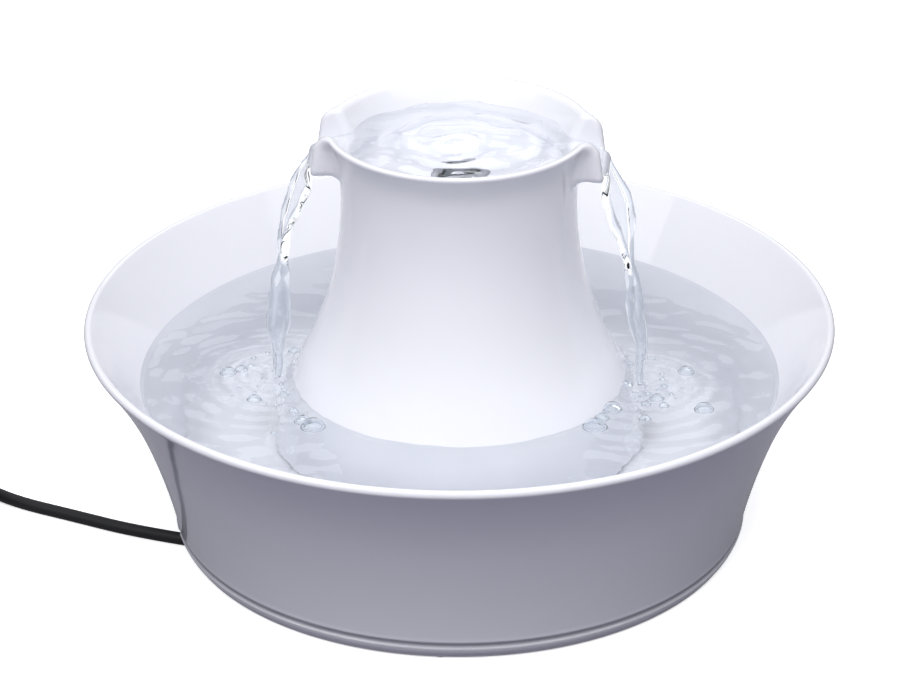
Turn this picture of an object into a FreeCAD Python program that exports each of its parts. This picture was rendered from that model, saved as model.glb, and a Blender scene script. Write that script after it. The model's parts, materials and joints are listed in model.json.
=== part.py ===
import FreeCAD, Part
import math
import os
from FreeCAD import Vector

# A glazed ceramic water fountain for pets: a flared bowl on a foot ring, and a
# hollow tower that lifts off it. A small submerged pump inside the tower raises
# the water into a dish at the top, and it falls back from two side spouts.
# Millimetres, +Z up. The origin is on the ground under the middle of the bowl,
# and the spouts point along +X and -X.

# Bowl
rim_radius = 146.0
rim_height = 90.0
lip_thickness = 3.5
wall_thickness = 6.6
floor_thickness = 6.0
foot_radius = 111.0
foot_ring_width = 7.0
foot_recess = 7.0
foot_edge_chamfer = 0.9
shoulder_radius = 115.6
shoulder_height = 10.0
wall_lean_low = 7.1
wall_lean_high = 36.3
groove_height = 8.1
groove_width = 2.4
groove_depth = 1.6
groove_flank = 0.5
basin_corner = 16.0
basin_lean = 12.0
seat_ring_height = 3.0
seat_ring_width = 3.0
seat_ring_clearance = 1.5

# Rubber pads set into the underside of the foot ring
pad_count = 6
pad_radius = 2.4
pad_proud = 0.6
pad_sunk = 1.2
pocket_clearance = 0.1
pad_first_angle = 30.0

# Tower
tower_base_radius = 74.0
tower_wall = 5.0
neck_radius = 45.5
neck_drop = 29.3
tower_height = 169.3
tower_rim_radius = 50.8
tower_lip = 3.4
tower_lip_lean = 30.0
dish_depth = 36.5
deck_thickness = 5.0
bore_round = 6.0
dish_radius = 40.6
dish_corner = 6.0
outlet_hole_radius = 9.0
inlet_arch_width = 20.0
inlet_arch_height = 14.0
inlet_arch_count = 4

# Spouts
spout_reach = 56.0
spout_width = 30.0
spout_wall = 3.4
spout_drop = 17.3
spout_mouth_lean = 7.5
spout_ear_round = 6.0
spout_edge_round = 1.4
spout_sole_round = 3.5
spout_floor_round = 2.5
spout_root_round = 3.0
spout_flare_drop = 2.7

# Silicone strips under the tower
strip_thickness = 1.2
strip_inset = 0.8
strip_sweep = 52.0
rest_gap = 0.3

# Pump
pump_width = 36.0
pump_height = 38.4
pump_back = 36.0
pump_front = -6.0
pump_corner = 5.0
pump_base_round = 2.0
cup_height = 8.0
cup_radius = 7.5
cup_lip = 0.8
cup_neck_radius = 3.4
cup_shoulder = 3.6
cup_hollow = 2.6
cup_stem_radius = 2.0
cup_stem_length = 2.0
cup_spread_x = 11.0
cup_rows_y = (2.0, 28.0)
chamber_radius = 14.0
chamber_depth = 12.0
well_radius = 8.2
well_depth = 27.0
spigot_radius = 5.3
spigot_bore = 3.6
spigot_length = 12.0
spigot_chamfer = 0.8
cooling_fin_count = 5
cooling_fin_depth = 1.2
cooling_fin_width = 2.4
cooling_fin_margin = 1.0

# Rotor
shaft_radius = 1.25
running_clearance = 0.06
magnet_radius = 7.4
magnet_length = 24.0
impeller_radius = 12.0
impeller_blade_count = 6
impeller_blade_thickness = 1.5
impeller_blade_bend = 10.8
impeller_hub_radius = 3.2
impeller_disc = 1.5
impeller_end_gap = 1.0
bush_radius = 2.6
bush_length = 2.6
shaft_end_gap = 0.5
seat_clearance = 0.05

# Volute plate, intake cover and flow dial
plate_thickness = 2.5
plate_margin = 1.0
intake_radius = 7.5
spider_arm_width = 1.8
spider_arm_count = 3
gasket_margin = 0.9
gasket_width = 1.8
gasket_depth = 0.85
cover_depth = 10.0
cover_wall = 1.8
cover_slot_width = 2.2
cover_slot_pitch = 4.6
cover_slot_count = 6
cover_slot_margin = 0.9
dial_radius = 9.0
dial_thickness = 2.2
dial_gap = 0.3
dial_port_radius = 2.0
dial_port_circle = 5.6
dial_port_count = 4
dial_pin_radius = 1.6
dial_grip_height = 2.2
dial_grip_width = 2.2
dial_grip_inset = 1.0

# Riser tube and its grommet in the deck
riser_radius = 7.0
riser_wall = 1.6
riser_proud = 1.5
grommet_flange_radius = 11.0
grommet_flange = 1.6
grommet_bevel = 0.9
grommet_gap = 0.3

# Ring cartridge between the pump and the seat ring: a moulded cage, a carbon pack and a foam ring
cage_pump_gap = 3.4
cage_seat_gap = 5.7
cage_plate = 2.0
cage_rib_thickness = 1.3
cage_rib_width = 2.0
cage_rib_count = 8
cage_rib_inset = 0.1
pack_share = 0.54
pack_height = 28.5
foam_height = 29.5
part_clearance = 0.3

# Cord, its stopper in the bowl's floor and its notch in the foot ring
cord_diameter = 5.0
cord_sides = 8
cord_clearance = 0.05
ground_clearance = 0.05
stopper_x = -28.5
stopper_y = -17.5
stopper_neck_radius = 6.0
stopper_flange_radius = 8.0
stopper_flange = 2.6
stopper_bevel = 1.3
stopper_head_radius = 9.0
stopper_head_gap = 1.0
gland_length = 7.0
gland_root_radius = 5.0
gland_tip_radius = 3.6
gland_y = 10.0
gland_z = 33.0
stopper_head_taper = 0.6
lead_headroom = 2.0
notch_width = 8.4
notch_height = 6.2

# Coil of the spare cord
coil_x = -229.5
coil_y = -18.0
coil_outer_radius = 32.4
coil_pitch = 5.7
coil_layer_step = 5.6
coil_layers = 4
coil_turns_per_layer = 2.1
coil_start_angle = 68.0
coil_lead_in = 18.0
tail_reach = 16.0
tail_drop = 1.5
tail_lead_in = 30.5
tie_thickness = 0.9
tie_width = 9.0
tie_clearance = 0.25
tie_angle = 200.0

# Power adapter on the end of the cord
adapter_x = -237.0
adapter_y = 84.0
adapter_width = 42.0
adapter_length = 62.0
adapter_height = 28.0
adapter_corner = 5.0
adapter_edge = 1.6
adapter_seam_height = 19.0
blade_width = 6.3
blade_thickness = 1.5
blade_length = 15.9
blade_spacing = 12.7
blade_hole_radius = 1.6
blade_hole_from_tip = 3.2
blade_from_end = 22.0
blade_chamfer = 0.45
relief_length = 22.0
relief_root_radius = 4.6
relief_tip_radius = 3.3
relief_groove_count = 4
relief_groove_width = 1.2
relief_groove_depth = 0.8

# Levels worked out from the sizes above
foot_bottom = pad_proud
floor_under = foot_bottom + foot_recess
floor_top = floor_under + floor_thickness
tower_base = floor_top + rest_gap + strip_thickness
neck_height = tower_height - neck_drop
deck_height = tower_height - dish_depth
spout_sole_height = tower_height - spout_drop
pump_base = floor_top + cup_height
shaft_height = pump_base + pump_height / 2
pump_top = pump_base + pump_height
seat_outer = tower_base_radius - tower_wall - seat_ring_clearance
seat_inner = seat_outer - seat_ring_width
pump_reach = math.hypot(pump_width / 2 - pump_corner, pump_back - pump_corner) + pump_corner
cage_inner_radius = pump_reach + cage_pump_gap
cord_level = cord_diameter / 2 + ground_clearance
lead_level = floor_under - cord_diameter / 2 - lead_headroom
spout_floor_height = spout_sole_height + spout_wall
OVERCUT = 5.0
Z_AXIS = Vector(0, 0, 1)
Y_AXIS = Vector(0, 1, 0)
ORIGIN = Vector(0, 0, 0)


def leaning(angle):
    """A heading in the X-Z plane, given as its lean from straight up towards +X."""
    return Vector(math.sin(math.radians(angle)), 0, math.cos(math.radians(angle)))


def arc_between(start, heading, end):
    """The arc that leaves a point with a heading and ends at another point."""
    chord = end - start
    side = heading.cross(chord).cross(heading)
    if side.Length < 1e-9:
        return Part.makeLine(start, end)
    side.normalize()
    radius = chord.dot(chord) / (2 * chord.dot(side))
    centre = start + side * radius
    through = centre + ((start + end) * 0.5 - centre).normalize() * radius
    return Part.Arc(start, through, end).toShape()


def biarc(start, heading, end, end_heading):
    """Two tangent arcs that leave one point and reach another with the given headings."""
    gap = start - end
    a = 2 * (heading.dot(end_heading) - 1)
    b = 2 * gap.dot(heading + end_heading)
    c = gap.dot(gap)
    reach = -c / b if abs(a) < 1e-9 else (-b - math.sqrt(b * b - 4 * a * c)) / (2 * a)
    first = start + heading * reach
    second = end - end_heading * reach
    joint = (first + second) * 0.5
    return [arc_between(start, heading, joint), arc_between(joint, (second - first).normalize(), end)]


class Outline:
    """An outline in the X-Z plane, drawn one stretch at a time and closed with a line."""

    def __init__(self, x, z):
        self.start = Vector(x, 0, z)
        self.here = self.start
        self.edges = []

    def line(self, x, z):
        there = Vector(x, 0, z)
        self.edges.append(Part.makeLine(self.here, there))
        self.here = there
        return self

    def arc(self, through, to):
        middle = Vector(through[0], 0, through[1])
        there = Vector(to[0], 0, to[1])
        self.edges.append(Part.Arc(self.here, middle, there).toShape())
        self.here = there
        return self

    def bend(self, heading, to, end_heading):
        """Two arcs that leave with one lean and arrive with another."""
        there = Vector(to[0], 0, to[1])
        self.edges += biarc(self.here, leaning(heading), there, leaning(end_heading))
        self.here = there
        return self

    def face(self):
        if self.here.distanceToPoint(self.start) > 1e-6:
            self.line(self.start.x, self.start.z)
        return Part.Face(Part.Wire(self.edges))

    def spin(self):
        return self.face().revolve(ORIGIN, Z_AXIS, 360)

    def push(self, y_from, y_to):
        solid = self.face().extrude(Vector(0, y_to - y_from, 0))
        solid.translate(Vector(0, y_from, 0))
        return solid


def polar(radius, angle, z=0.0):
    turn = math.radians(angle)
    return Vector(radius * math.cos(turn), radius * math.sin(turn), z)


def turned(shape, angle, centre=ORIGIN):
    copy = shape.copy()
    copy.rotate(centre, Z_AXIS, angle)
    return copy


def moved(shape, x=0.0, y=0.0, z=0.0):
    copy = shape.copy()
    copy.translate(Vector(x, y, z))
    return copy


def post(radius, z_from, z_to, x=0.0, y=0.0):
    return Part.makeCylinder(radius, z_to - z_from, Vector(x, y, z_from))


def ring(inner, outer, z_from, z_to):
    return post(outer, z_from, z_to).cut(post(inner, z_from - 1, z_to + 1))


def rod(radius, y_from, y_to, x=0.0, z=None):
    """A cylinder along Y, on the pump's shaft line unless another height is given."""
    height = shaft_height if z is None else z
    return Part.makeCylinder(radius, y_to - y_from, Vector(x, y_from, height), Y_AXIS)


def block(x, y, z):
    """A box from its limits along X, Y and Z."""
    return Part.makeBox(x[1] - x[0], y[1] - y[0], z[1] - z[0], Vector(x[0], y[0], z[0]))


def rounded_block(x, y, z, radius):
    """A box whose four upright edges are rounded."""
    solid = block(x, y, z)
    upright = [e for e in solid.Edges if abs(e.tangentAt(e.FirstParameter).z) > 0.99]
    return solid.makeFillet(radius, upright)


def edges_at(shape, z):
    """The edges of a shape that lie wholly at one level."""
    return [e for e in shape.Edges if abs(e.BoundBox.ZMin - z) < 1e-4 and abs(e.BoundBox.ZMax - z) < 1e-4]


def around(shape, count, first=0.0):
    """Copies of a shape, evenly turned about the Z axis."""
    return [turned(shape, first + 360.0 * k / count) for k in range(count)]


def lip_points(outer_radius, top, thickness, angle):
    """Outer, end and inner point of a rounded lip whose wall leans outwards."""
    half = thickness / 2
    x, z = outer_radius - half, top - half
    along = leaning(angle) * half
    return (x + along.z, z - along.x), (x + along.x, z + along.z), (x - along.z, z + along.x)


def make_bowl():
    outer, end, inner = lip_points(rim_radius, rim_height, lip_thickness, wall_lean_high)
    foot_inner = foot_radius - foot_ring_width
    basin = (shoulder_radius - wall_thickness, floor_top + basin_corner)
    groove_low = groove_height - groove_width / 2
    groove_high = groove_height + groove_width / 2
    recess_chamfer = foot_recess / 2
    bowl = (
        Outline(foot_inner, foot_bottom)
        .line(foot_radius - foot_edge_chamfer, foot_bottom)
        .line(foot_radius, foot_bottom + foot_edge_chamfer)
        .line(shoulder_radius, groove_low)
        .line(shoulder_radius - groove_depth, groove_low + groove_flank)
        .line(shoulder_radius - groove_depth, groove_high - groove_flank)
        .line(shoulder_radius, groove_high)
        .line(shoulder_radius, shoulder_height)
        .bend(wall_lean_low, outer, wall_lean_high)
        .arc(end, inner)
        .bend(180 + wall_lean_high, basin, 180 + basin_lean)
        .bend(180 + basin_lean, (basin[0] - basin_corner, floor_top), 270)
        .line(0, floor_top)
        .line(0, floor_under)
        .line(foot_inner - recess_chamfer, floor_under)
        .line(foot_inner, floor_under - recess_chamfer)
        .spin()
    )
    seat = ring(seat_inner, seat_outer, floor_top - 1, floor_top + seat_ring_height)
    bowl = bowl.fuse(seat)
    bowl = bowl.cut(post(stopper_neck_radius, floor_under - 1, floor_top + 1, stopper_x, stopper_y))
    for pocket in around(pad_shape(pocket_clearance, foot_bottom - 1), pad_count, pad_first_angle):
        bowl = bowl.cut(pocket)
    return bowl.cut(cord_notch()).removeSplitter()


def pad_shape(clearance, z_from):
    centre = foot_radius - foot_ring_width / 2
    top = foot_bottom + pad_sunk
    return post(pad_radius + clearance, z_from, top, centre, 0)


def make_foot_pads():
    return Part.makeCompound(around(pad_shape(0, 0), pad_count, pad_first_angle))


def make_tower():
    outer, end, inner = lip_points(tower_rim_radius, tower_height, tower_lip, tower_lip_lean)
    tower = (
        Outline(tower_base_radius, tower_base)
        .bend(0, (neck_radius, neck_height), 0)
        .bend(0, outer, tower_lip_lean)
        .arc(end, inner)
        .bend(180 + tower_lip_lean, (dish_radius, deck_height + dish_corner), 180)
        .arc(dish_corner_middle(), (dish_radius - dish_corner, deck_height))
        .line(0, deck_height)
        .line(0, tower_base)
        .spin()
    )
    tower = tower.cut([tower_bore(), post(outlet_hole_radius, tower_base, deck_height + 1)])
    spout = spout_shell().cut(dish_cavity())
    for side in (0, 180):
        tower = tower.cut(turned(spout_channel(), side)).fuse(turned(spout, side))
    for arch in around(inlet_arch(), inlet_arch_count):
        tower = tower.cut(arch)
    return tower.removeSplitter()


def tower_bore():
    """The hollow for the pump, as far from the outside as the wall is thick, and round under the deck."""
    top = min(deck_height - deck_thickness, neck_height)
    bore = (
        Outline(0, tower_base)
        .line(tower_base_radius - tower_wall, tower_base)
        .bend(0, (neck_radius - tower_wall, neck_height), 0)
        .line(0, neck_height)
        .spin()
    )
    bore = bore.cut(post(tower_base_radius, top, neck_height + OVERCUT))
    return bore.makeFillet(bore_round, edges_at(bore, top))


def dish_corner_middle():
    """The middle of the round between the deck and the dish's wall."""
    inset = dish_corner * (1 - math.sqrt(0.5))
    return dish_radius - inset, deck_height + inset


def dish_cavity():
    """The space inside the dish, up to the crest of its rim and on above it."""
    inner = lip_points(tower_rim_radius, tower_height, tower_lip, tower_lip_lean)[2]
    half = tower_lip / 2
    crest = (tower_rim_radius - half, tower_height)
    beside = leaning(-(90 - tower_lip_lean) / 2) * half
    above = tower_height + OVERCUT
    return (
        Outline(0, deck_height)
        .line(dish_radius - dish_corner, deck_height)
        .arc(dish_corner_middle(), (dish_radius, deck_height + dish_corner))
        .bend(0, inner, tower_lip_lean)
        .arc((crest[0] + beside.x, crest[1] - half + beside.z), crest)
        .line(crest[0], above)
        .line(0, above)
        .spin()
    )


def spout_root():
    """Where a spout's walls start, inside the thickness of the tower's wall."""
    return neck_radius - tower_wall / 2


def gutter(x_from, x_to, half, low, corner):
    """A block along X, as high as the tower, whose two lower edges are rounded."""
    solid = block((x_from, x_to), (-half, half), (low, tower_height + OVERCUT))
    lower = [e for e in edges_at(solid, low) if e.BoundBox.YLength < 1e-4]
    return solid.makeFillet(corner, lower)


def spout_channel():
    """The water's way out through the tower's rim, above the spout's floor."""
    half = spout_width / 2 - spout_wall
    start = dish_radius - dish_corner
    return gutter(start, spout_reach + OVERCUT, half, spout_floor_height, spout_floor_round)


def spout_shell():
    """A floor between two ears, rounded all along its rim, with hollow corners at the neck."""
    root = spout_root()
    half = spout_width / 2
    low = spout_sole_height
    ear_start = tower_height - spout_ear_round
    crest = mouth_at(ear_start) - spout_ear_round
    side = (
        Outline(root, low)
        .line(spout_reach, low)
        .line(mouth_at(ear_start), ear_start)
        .bend(-spout_mouth_lean, (crest, tower_height), 270)
        .line(root, tower_height)
        .push(-half, half)
    )
    shell = gutter(root, spout_reach, half, low, spout_sole_round).common(side).cut(spout_channel())
    shell = shell.makeFillet(spout_edge_round, [e for e in shell.Edges if on_spout_rim(e)])
    flare = spout_flare()
    return shell.fuse([flare, flare.mirror(ORIGIN, Y_AXIS)])


def mouth_at(z):
    """How far the spout's mouth, which leans back as it rises, reaches out at a level."""
    return spout_reach - (z - spout_sole_height) * math.tan(math.radians(spout_mouth_lean))


def on_spout_rim(edge):
    """True for the edges round the spout's mouth and along the tops of its ears."""
    box = edge.BoundBox
    ear_start = tower_height - spout_ear_round
    at_mouth = box.XMin > mouth_at(ear_start) - 1e-4 and box.ZMin < ear_start - 1
    on_top = box.YLength < 1e-4 and box.ZMax > tower_height - 1e-4 and box.XLength > 1
    return at_mouth or on_top


def spout_flare():
    """The hollow corner between an ear and the neck, which widens up to the rim."""
    low = spout_sole_height + spout_sole_round
    high = tower_height - spout_flare_drop
    outlines = [flare_outline(neck_radius, low), flare_outline(tower_rim_radius, high)]
    return Part.makeLoft(outlines, True, True)


def flare_outline(round_radius, z):
    """A corner that is tangent to the ear's face and to a circle about the tower's axis."""
    half = spout_width / 2
    r = spout_root_round
    centre_x = math.sqrt((round_radius + r) ** 2 - (half + r) ** 2)
    centre = Vector(centre_x, half + r, z)
    tip = Vector(centre_x, half, z)
    share = round_radius / (round_radius + r)
    foot = Vector(centre.x * share, centre.y * share, z)
    middle = centre + ((tip + foot) * 0.5 - centre).normalize() * r
    inside = Vector(foot.x, foot.y, 0).normalize() * spout_root()
    return Part.Wire([
        Part.makeLine(Vector(centre_x, half - 1, z), tip),
        Part.Arc(tip, middle, foot).toShape(),
        Part.makeLine(foot, Vector(inside.x, inside.y, z)),
        Part.makeLine(Vector(inside.x, inside.y, z), Vector(inside.x, half - spout_wall, z)),
        Part.makeLine(Vector(inside.x, half - spout_wall, z), Vector(centre_x, half - 1, z)),
    ])


def inlet_arch():
    """A low arch in the foot of the tower that lets the water in to the pump."""
    half = inlet_arch_width / 2
    spring = tower_base + inlet_arch_height - half
    return (
        Outline(-half, tower_base - 1)
        .line(-half, spring)
        .arc((0, tower_base + inlet_arch_height), (half, spring))
        .line(half, tower_base - 1)
        .push(neck_radius, tower_base_radius + OVERCUT)
    )


def make_tower_strips():
    """Silicone strips glued under the tower's foot, one between each two arches."""
    inner = tower_base_radius - tower_wall + strip_inset
    outer = tower_base_radius - strip_inset
    step = 360.0 / inlet_arch_count
    low = tower_base - strip_thickness
    wedge_bottom = Vector(0, 0, low - OVERCUT)
    wedge_height = strip_thickness + 2 * OVERCUT
    wedge = Part.makeCylinder(outer + OVERCUT, wedge_height, wedge_bottom, Z_AXIS, strip_sweep)
    band = ring(inner, outer, low, tower_base)
    first = (step - strip_sweep) / 2
    return Part.makeCompound([band.common(w) for w in around(wedge, inlet_arch_count, first)])


def make_deck_grommet():
    """A rubber grommet that clips into the deck's hole and slides over the riser tube."""
    bore = riser_radius + grommet_gap
    under = deck_height - deck_thickness
    neck = outlet_hole_radius - seat_clearance
    return (
        Outline(bore, deck_height + grommet_flange - grommet_bevel)
        .line(bore + grommet_bevel, deck_height + grommet_flange)
        .line(grommet_flange_radius - grommet_bevel, deck_height + grommet_flange)
        .line(grommet_flange_radius, deck_height + grommet_flange - grommet_bevel)
        .line(grommet_flange_radius, deck_height)
        .line(neck, deck_height)
        .line(neck, under)
        .line(grommet_flange_radius, under)
        .line(grommet_flange_radius - grommet_flange, under - grommet_flange)
        .line(bore, under - grommet_flange)
        .spin()
    )


def make_riser_tube():
    return ring(riser_radius - riser_wall, riser_radius, pump_top, deck_height + riser_proud)


def make_pump_housing():
    """The moulded motor block, with its pump chamber in front and its outlet on top."""
    half = pump_width / 2
    body = rounded_block((-half, half), (pump_front, pump_back), (pump_base, pump_top), pump_corner)
    body = body.makeFillet(pump_base_round, edges_at(body, pump_top))
    spigot = post(spigot_radius, pump_top - 1, pump_top + spigot_length)
    tip = edges_at(spigot, pump_top + spigot_length)
    body = body.fuse(spigot.makeChamfer(spigot_chamfer, tip))
    body = body.cut(rod(chamber_radius, pump_front - 1, pump_front + chamber_depth))
    well_start = pump_front + chamber_depth - 1
    well_end = pump_front + chamber_depth + well_depth
    body = body.cut(rod(well_radius, well_start, well_end))
    body = body.cut(rod(bush_radius + seat_clearance, well_end - 1, well_end + bush_length))
    body = body.cut(post(spigot_bore, shaft_height, pump_top + spigot_length + 1))
    for x in (-half, half):
        for k in range(cooling_fin_count):
            y = pump_front + chamber_depth + (k + 0.5) * cooling_fin_width * 2
            top = gland_z - gland_root_radius - cooling_fin_margin if x < 0 else pump_top - pump_corner
            groove = block(
                (x - cooling_fin_depth, x + cooling_fin_depth),
                (y, y + cooling_fin_width),
                (pump_base + pump_corner, top),
            )
            body = body.cut(groove)
    socket_radius = cup_stem_radius + seat_clearance
    for x, y in cup_places():
        body = body.cut(post(socket_radius, pump_base - 1, pump_base + cup_stem_length, x, y))
    return body.cut(gasket_ring(seat_clearance)).removeSplitter()


def cup_places():
    return [(side * cup_spread_x, y) for side in (-1, 1) for y in cup_rows_y]


def gasket_ring(clearance):
    """The flat ring round the chamber, half in the housing's front and half in the plate."""
    inner = chamber_radius + gasket_margin - clearance
    outer = chamber_radius + gasket_margin + gasket_width + clearance
    depth = gasket_depth + clearance
    span = (pump_front - depth, pump_front + depth)
    return rod(outer, *span).cut(rod(inner, *span))


def make_housing_gasket():
    return gasket_ring(0)


def make_volute_plate():
    """The plate that closes the pump chamber, with a spider that holds the front bush."""
    half = pump_width / 2 - plate_margin
    front = pump_front - plate_thickness
    plate = block((-half, half), (front, pump_front), (shaft_height - half, shaft_height + half))
    upright = [e for e in plate.Edges if abs(e.tangentAt(e.FirstParameter).y) > 0.99]
    plate = plate.makeFillet(pump_corner, upright)
    plate = plate.cut(rod(intake_radius, front - 1, pump_front + 1))
    half_arm = spider_arm_width / 2
    for k in range(spider_arm_count):
        arm = block((-half_arm, half_arm), (front, pump_front), (0, intake_radius + 1))
        arm.rotate(ORIGIN, Y_AXIS, 360.0 * k / spider_arm_count)
        plate = plate.fuse(moved(arm, z=shaft_height))
    hub = rod(bush_radius + spider_arm_width, front, pump_front)
    plate = plate.fuse(hub).cut(rod(bush_radius + seat_clearance, front - 1, pump_front + 1))
    return plate.cut(gasket_ring(seat_clearance)).removeSplitter()


def bush_spans():
    rear = pump_front + chamber_depth + well_depth
    front = pump_front - plate_thickness
    return [(front, front + plate_thickness), (rear, rear + bush_length)]


def make_shaft_bushes():
    bushes = []
    for y_from, y_to in bush_spans():
        bush = rod(bush_radius, y_from, y_to).cut(rod(shaft_radius, y_from - 1, y_to + 1))
        bushes.append(bush)
    return Part.makeCompound(bushes)


def make_rotor_shaft():
    spans = bush_spans()
    return rod(shaft_radius, spans[0][0], spans[1][1] - shaft_end_gap)


def make_rotor_magnet():
    start = pump_front + chamber_depth - impeller_end_gap
    magnet = rod(magnet_radius, start, start + magnet_length)
    bore = rod(shaft_radius + running_clearance, start - 1, start + magnet_length + 1)
    return magnet.cut(bore)


def make_impeller():
    """Six curved blades on a disc that is moulded on the magnet's front end."""
    back = pump_front + chamber_depth - impeller_end_gap
    front = pump_front + impeller_end_gap
    disc = rod(impeller_radius, back - impeller_disc, back)
    hub = rod(impeller_hub_radius, front, back)
    impeller = disc.fuse(hub)
    bend = impeller_blade_bend
    for k in range(impeller_blade_count):
        outer = rod(bend, front, back, bend, 0)
        inner = rod(bend - impeller_blade_thickness, front, back, bend, 0)
        blade = outer.cut(inner).common(block((-1, impeller_radius), (front, back), (0, impeller_radius)))
        blade.rotate(ORIGIN, Y_AXIS, 360.0 * k / impeller_blade_count)
        impeller = impeller.fuse(moved(blade, z=shaft_height))
    impeller = impeller.common(rod(impeller_radius, front, back))
    bore = rod(shaft_radius + running_clearance, front - 1, back + 1)
    return impeller.cut(bore).removeSplitter()


def make_intake_cover():
    """A slotted cap on the front of the pump, with four ports under the flow dial."""
    half = pump_width / 2 - plate_margin
    back = pump_front - plate_thickness
    front = back - cover_depth
    low, high = shaft_height - half, shaft_height + half
    cover = block((-half, half), (front, back), (low, high))
    upright = [e for e in cover.Edges if abs(e.tangentAt(e.FirstParameter).y) > 0.99]
    cover = cover.makeFillet(pump_corner, upright)
    inner = half - cover_wall
    inside_levels = (shaft_height - inner, shaft_height + inner)
    cover = cover.cut(block((-inner, inner), (front + cover_wall, back + 1), inside_levels))
    start = -(cover_slot_count - 1) / 2 * cover_slot_pitch
    for k in range(cover_slot_count):
        x = start + k * cover_slot_pitch - cover_slot_width / 2
        span = (front + cover_wall + cover_slot_margin, back - cover_slot_margin)
        slot = block((x, x + cover_slot_width), span, (low - 1, high + 1))
        cover = cover.cut(slot)
    for port in dial_ports(front - 1, front + cover_wall + 1):
        cover = cover.cut(port)
    pin = rod(dial_pin_radius, front - dial_gap - dial_thickness, front + cover_wall)
    return cover.fuse(pin).removeSplitter()


def dial_ports(y_from, y_to):
    ports = []
    for k in range(dial_port_count):
        at = polar(dial_port_circle, 360.0 * (k + 0.5) / dial_port_count)
        ports.append(rod(dial_port_radius, y_from, y_to, at.x, shaft_height + at.y))
    return ports


def dial_span():
    front = pump_front - plate_thickness - cover_depth - dial_gap
    return front - dial_thickness, front


def make_flow_dial():
    """A disc on the cover's pin that shuts the four ports as it is turned."""
    front, back = dial_span()
    dial = rod(dial_radius, front, back)
    grip = block(
        (-dial_radius + dial_grip_inset, dial_radius - dial_grip_inset),
        (front - dial_grip_height, front + 0.5),
        (shaft_height - dial_grip_width / 2, shaft_height + dial_grip_width / 2),
    )
    dial = dial.fuse(grip)
    for port in dial_ports(front - 1, back + 1):
        dial = dial.cut(port)
    bore = rod(dial_pin_radius + running_clearance, front - dial_grip_height - 1, back + 1)
    return dial.cut(bore).removeSplitter()


def make_suction_cups():
    cup = (
        Outline(0, pump_base + cup_stem_length)
        .line(cup_stem_radius, pump_base + cup_stem_length)
        .line(cup_stem_radius, pump_base)
        .line(cup_neck_radius, pump_base)
        .line(cup_neck_radius, floor_top + cup_shoulder)
        .line(cup_radius, floor_top)
        .line(cup_radius - cup_lip, floor_top)
        .line(cup_stem_radius, floor_top + cup_hollow)
        .line(0, floor_top + cup_hollow)
        .spin()
    )
    return Part.makeCompound([moved(cup, x, y) for x, y in cup_places()])


def cage_levels():
    low = floor_top + rest_gap
    shelf = low + cage_plate
    roof = shelf + part_clearance * 2 + pack_height
    return low, shelf, roof


def cage_radii():
    """From the inside out; the pack and the foam share what the ribs and gaps leave."""
    foam_outer = seat_inner - cage_seat_gap - part_clearance
    rib_inner = cage_inner_radius + cage_rib_thickness
    pack_inner = rib_inner + part_clearance
    filling = foam_outer - pack_inner - cage_rib_thickness - 2 * part_clearance
    pack_outer = pack_inner + filling * pack_share
    rib_outer = pack_outer + part_clearance + cage_rib_thickness
    return rib_inner, pack_inner, pack_outer, rib_outer, rib_outer + part_clearance, foam_outer


def make_cartridge_cage():
    """A shelf ring, a roof ring and two rows of ribs between them."""
    low, shelf, roof = cage_levels()
    rib_inner, _, _, rib_outer, _, foam_outer = cage_radii()
    cage = ring(cage_inner_radius, foam_outer + part_clearance, low, shelf)
    cage = cage.fuse(ring(cage_inner_radius, rib_outer, roof, roof + cage_plate))
    half = cage_rib_width / 2
    levels = (low + cage_plate / 2, roof + cage_plate / 2)
    rib_in = block((cage_inner_radius, rib_inner), (-half, half), levels)
    rib_out = moved(rib_in, x=rib_outer - cage_rib_inset - rib_inner)
    ribs = around(rib_in, cage_rib_count) + around(rib_out, cage_rib_count)
    return cage.fuse(ribs).removeSplitter()


def make_carbon_pack():
    _, pack_inner, pack_outer, _, _, _ = cage_radii()
    _, shelf, roof = cage_levels()
    return ring(pack_inner, pack_outer, shelf + part_clearance, roof - part_clearance)


def make_foam_ring():
    foam_inner, foam_outer = cage_radii()[4:]
    shelf = cage_levels()[1]
    return ring(foam_inner, foam_outer, shelf + part_clearance, shelf + part_clearance + foam_height)


def bend_route(points):
    """Straight runs joined by tangent arcs, each arc as large as its two runs allow."""
    edges = []
    radii = []
    here = points[0]
    for before, corner, after in zip(points, points[1:], points[2:]):
        back = (before - corner).normalize()
        ahead = (after - corner).normalize()
        half_turn = (math.pi - back.getAngle(ahead)) / 2
        shorter = min(before.distanceToPoint(corner), after.distanceToPoint(corner))
        tangent = 0.45 * shorter
        radius = tangent / math.tan(half_turn)
        enter = corner + back * tangent
        leave = corner + ahead * tangent
        inward = (back + ahead).normalize()
        middle = corner + inward * (radius / math.cos(half_turn) - radius)
        edges.append(Part.makeLine(here, enter))
        edges.append(Part.Arc(enter, middle, leave).toShape())
        radii.append(radius)
        here = leave
    edges.append(Part.makeLine(here, points[-1]))
    return edges, radii


def tube(edges, radius, name=None):
    """A many-sided tube along a chain of edges; its volume is set against its section times its length."""
    path = Part.Wire(edges)
    first = edges[0]
    start = first.valueAt(first.FirstParameter)
    heading = first.tangentAt(first.FirstParameter)
    across = heading.cross(Z_AXIS).normalize() * radius
    upwards = across.cross(heading)
    corners = []
    for k in range(cord_sides):
        turn = 2 * math.pi * (k + 0.5) / cord_sides
        corners.append(start + across * math.cos(turn) + upwards * math.sin(turn))
    section = Part.makePolygon(corners + corners[:1])
    solid = path.makePipeShell([section], True, False)
    if name:
        expected = Part.Face(section).Area * path.Length
        ratio = solid.Volume / expected
        print(f"{name}: length {path.Length:.1f}, volume over section times length {ratio:.4f}")
    return solid


def places(rows):
    return [Vector(*row) for row in rows]


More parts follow.
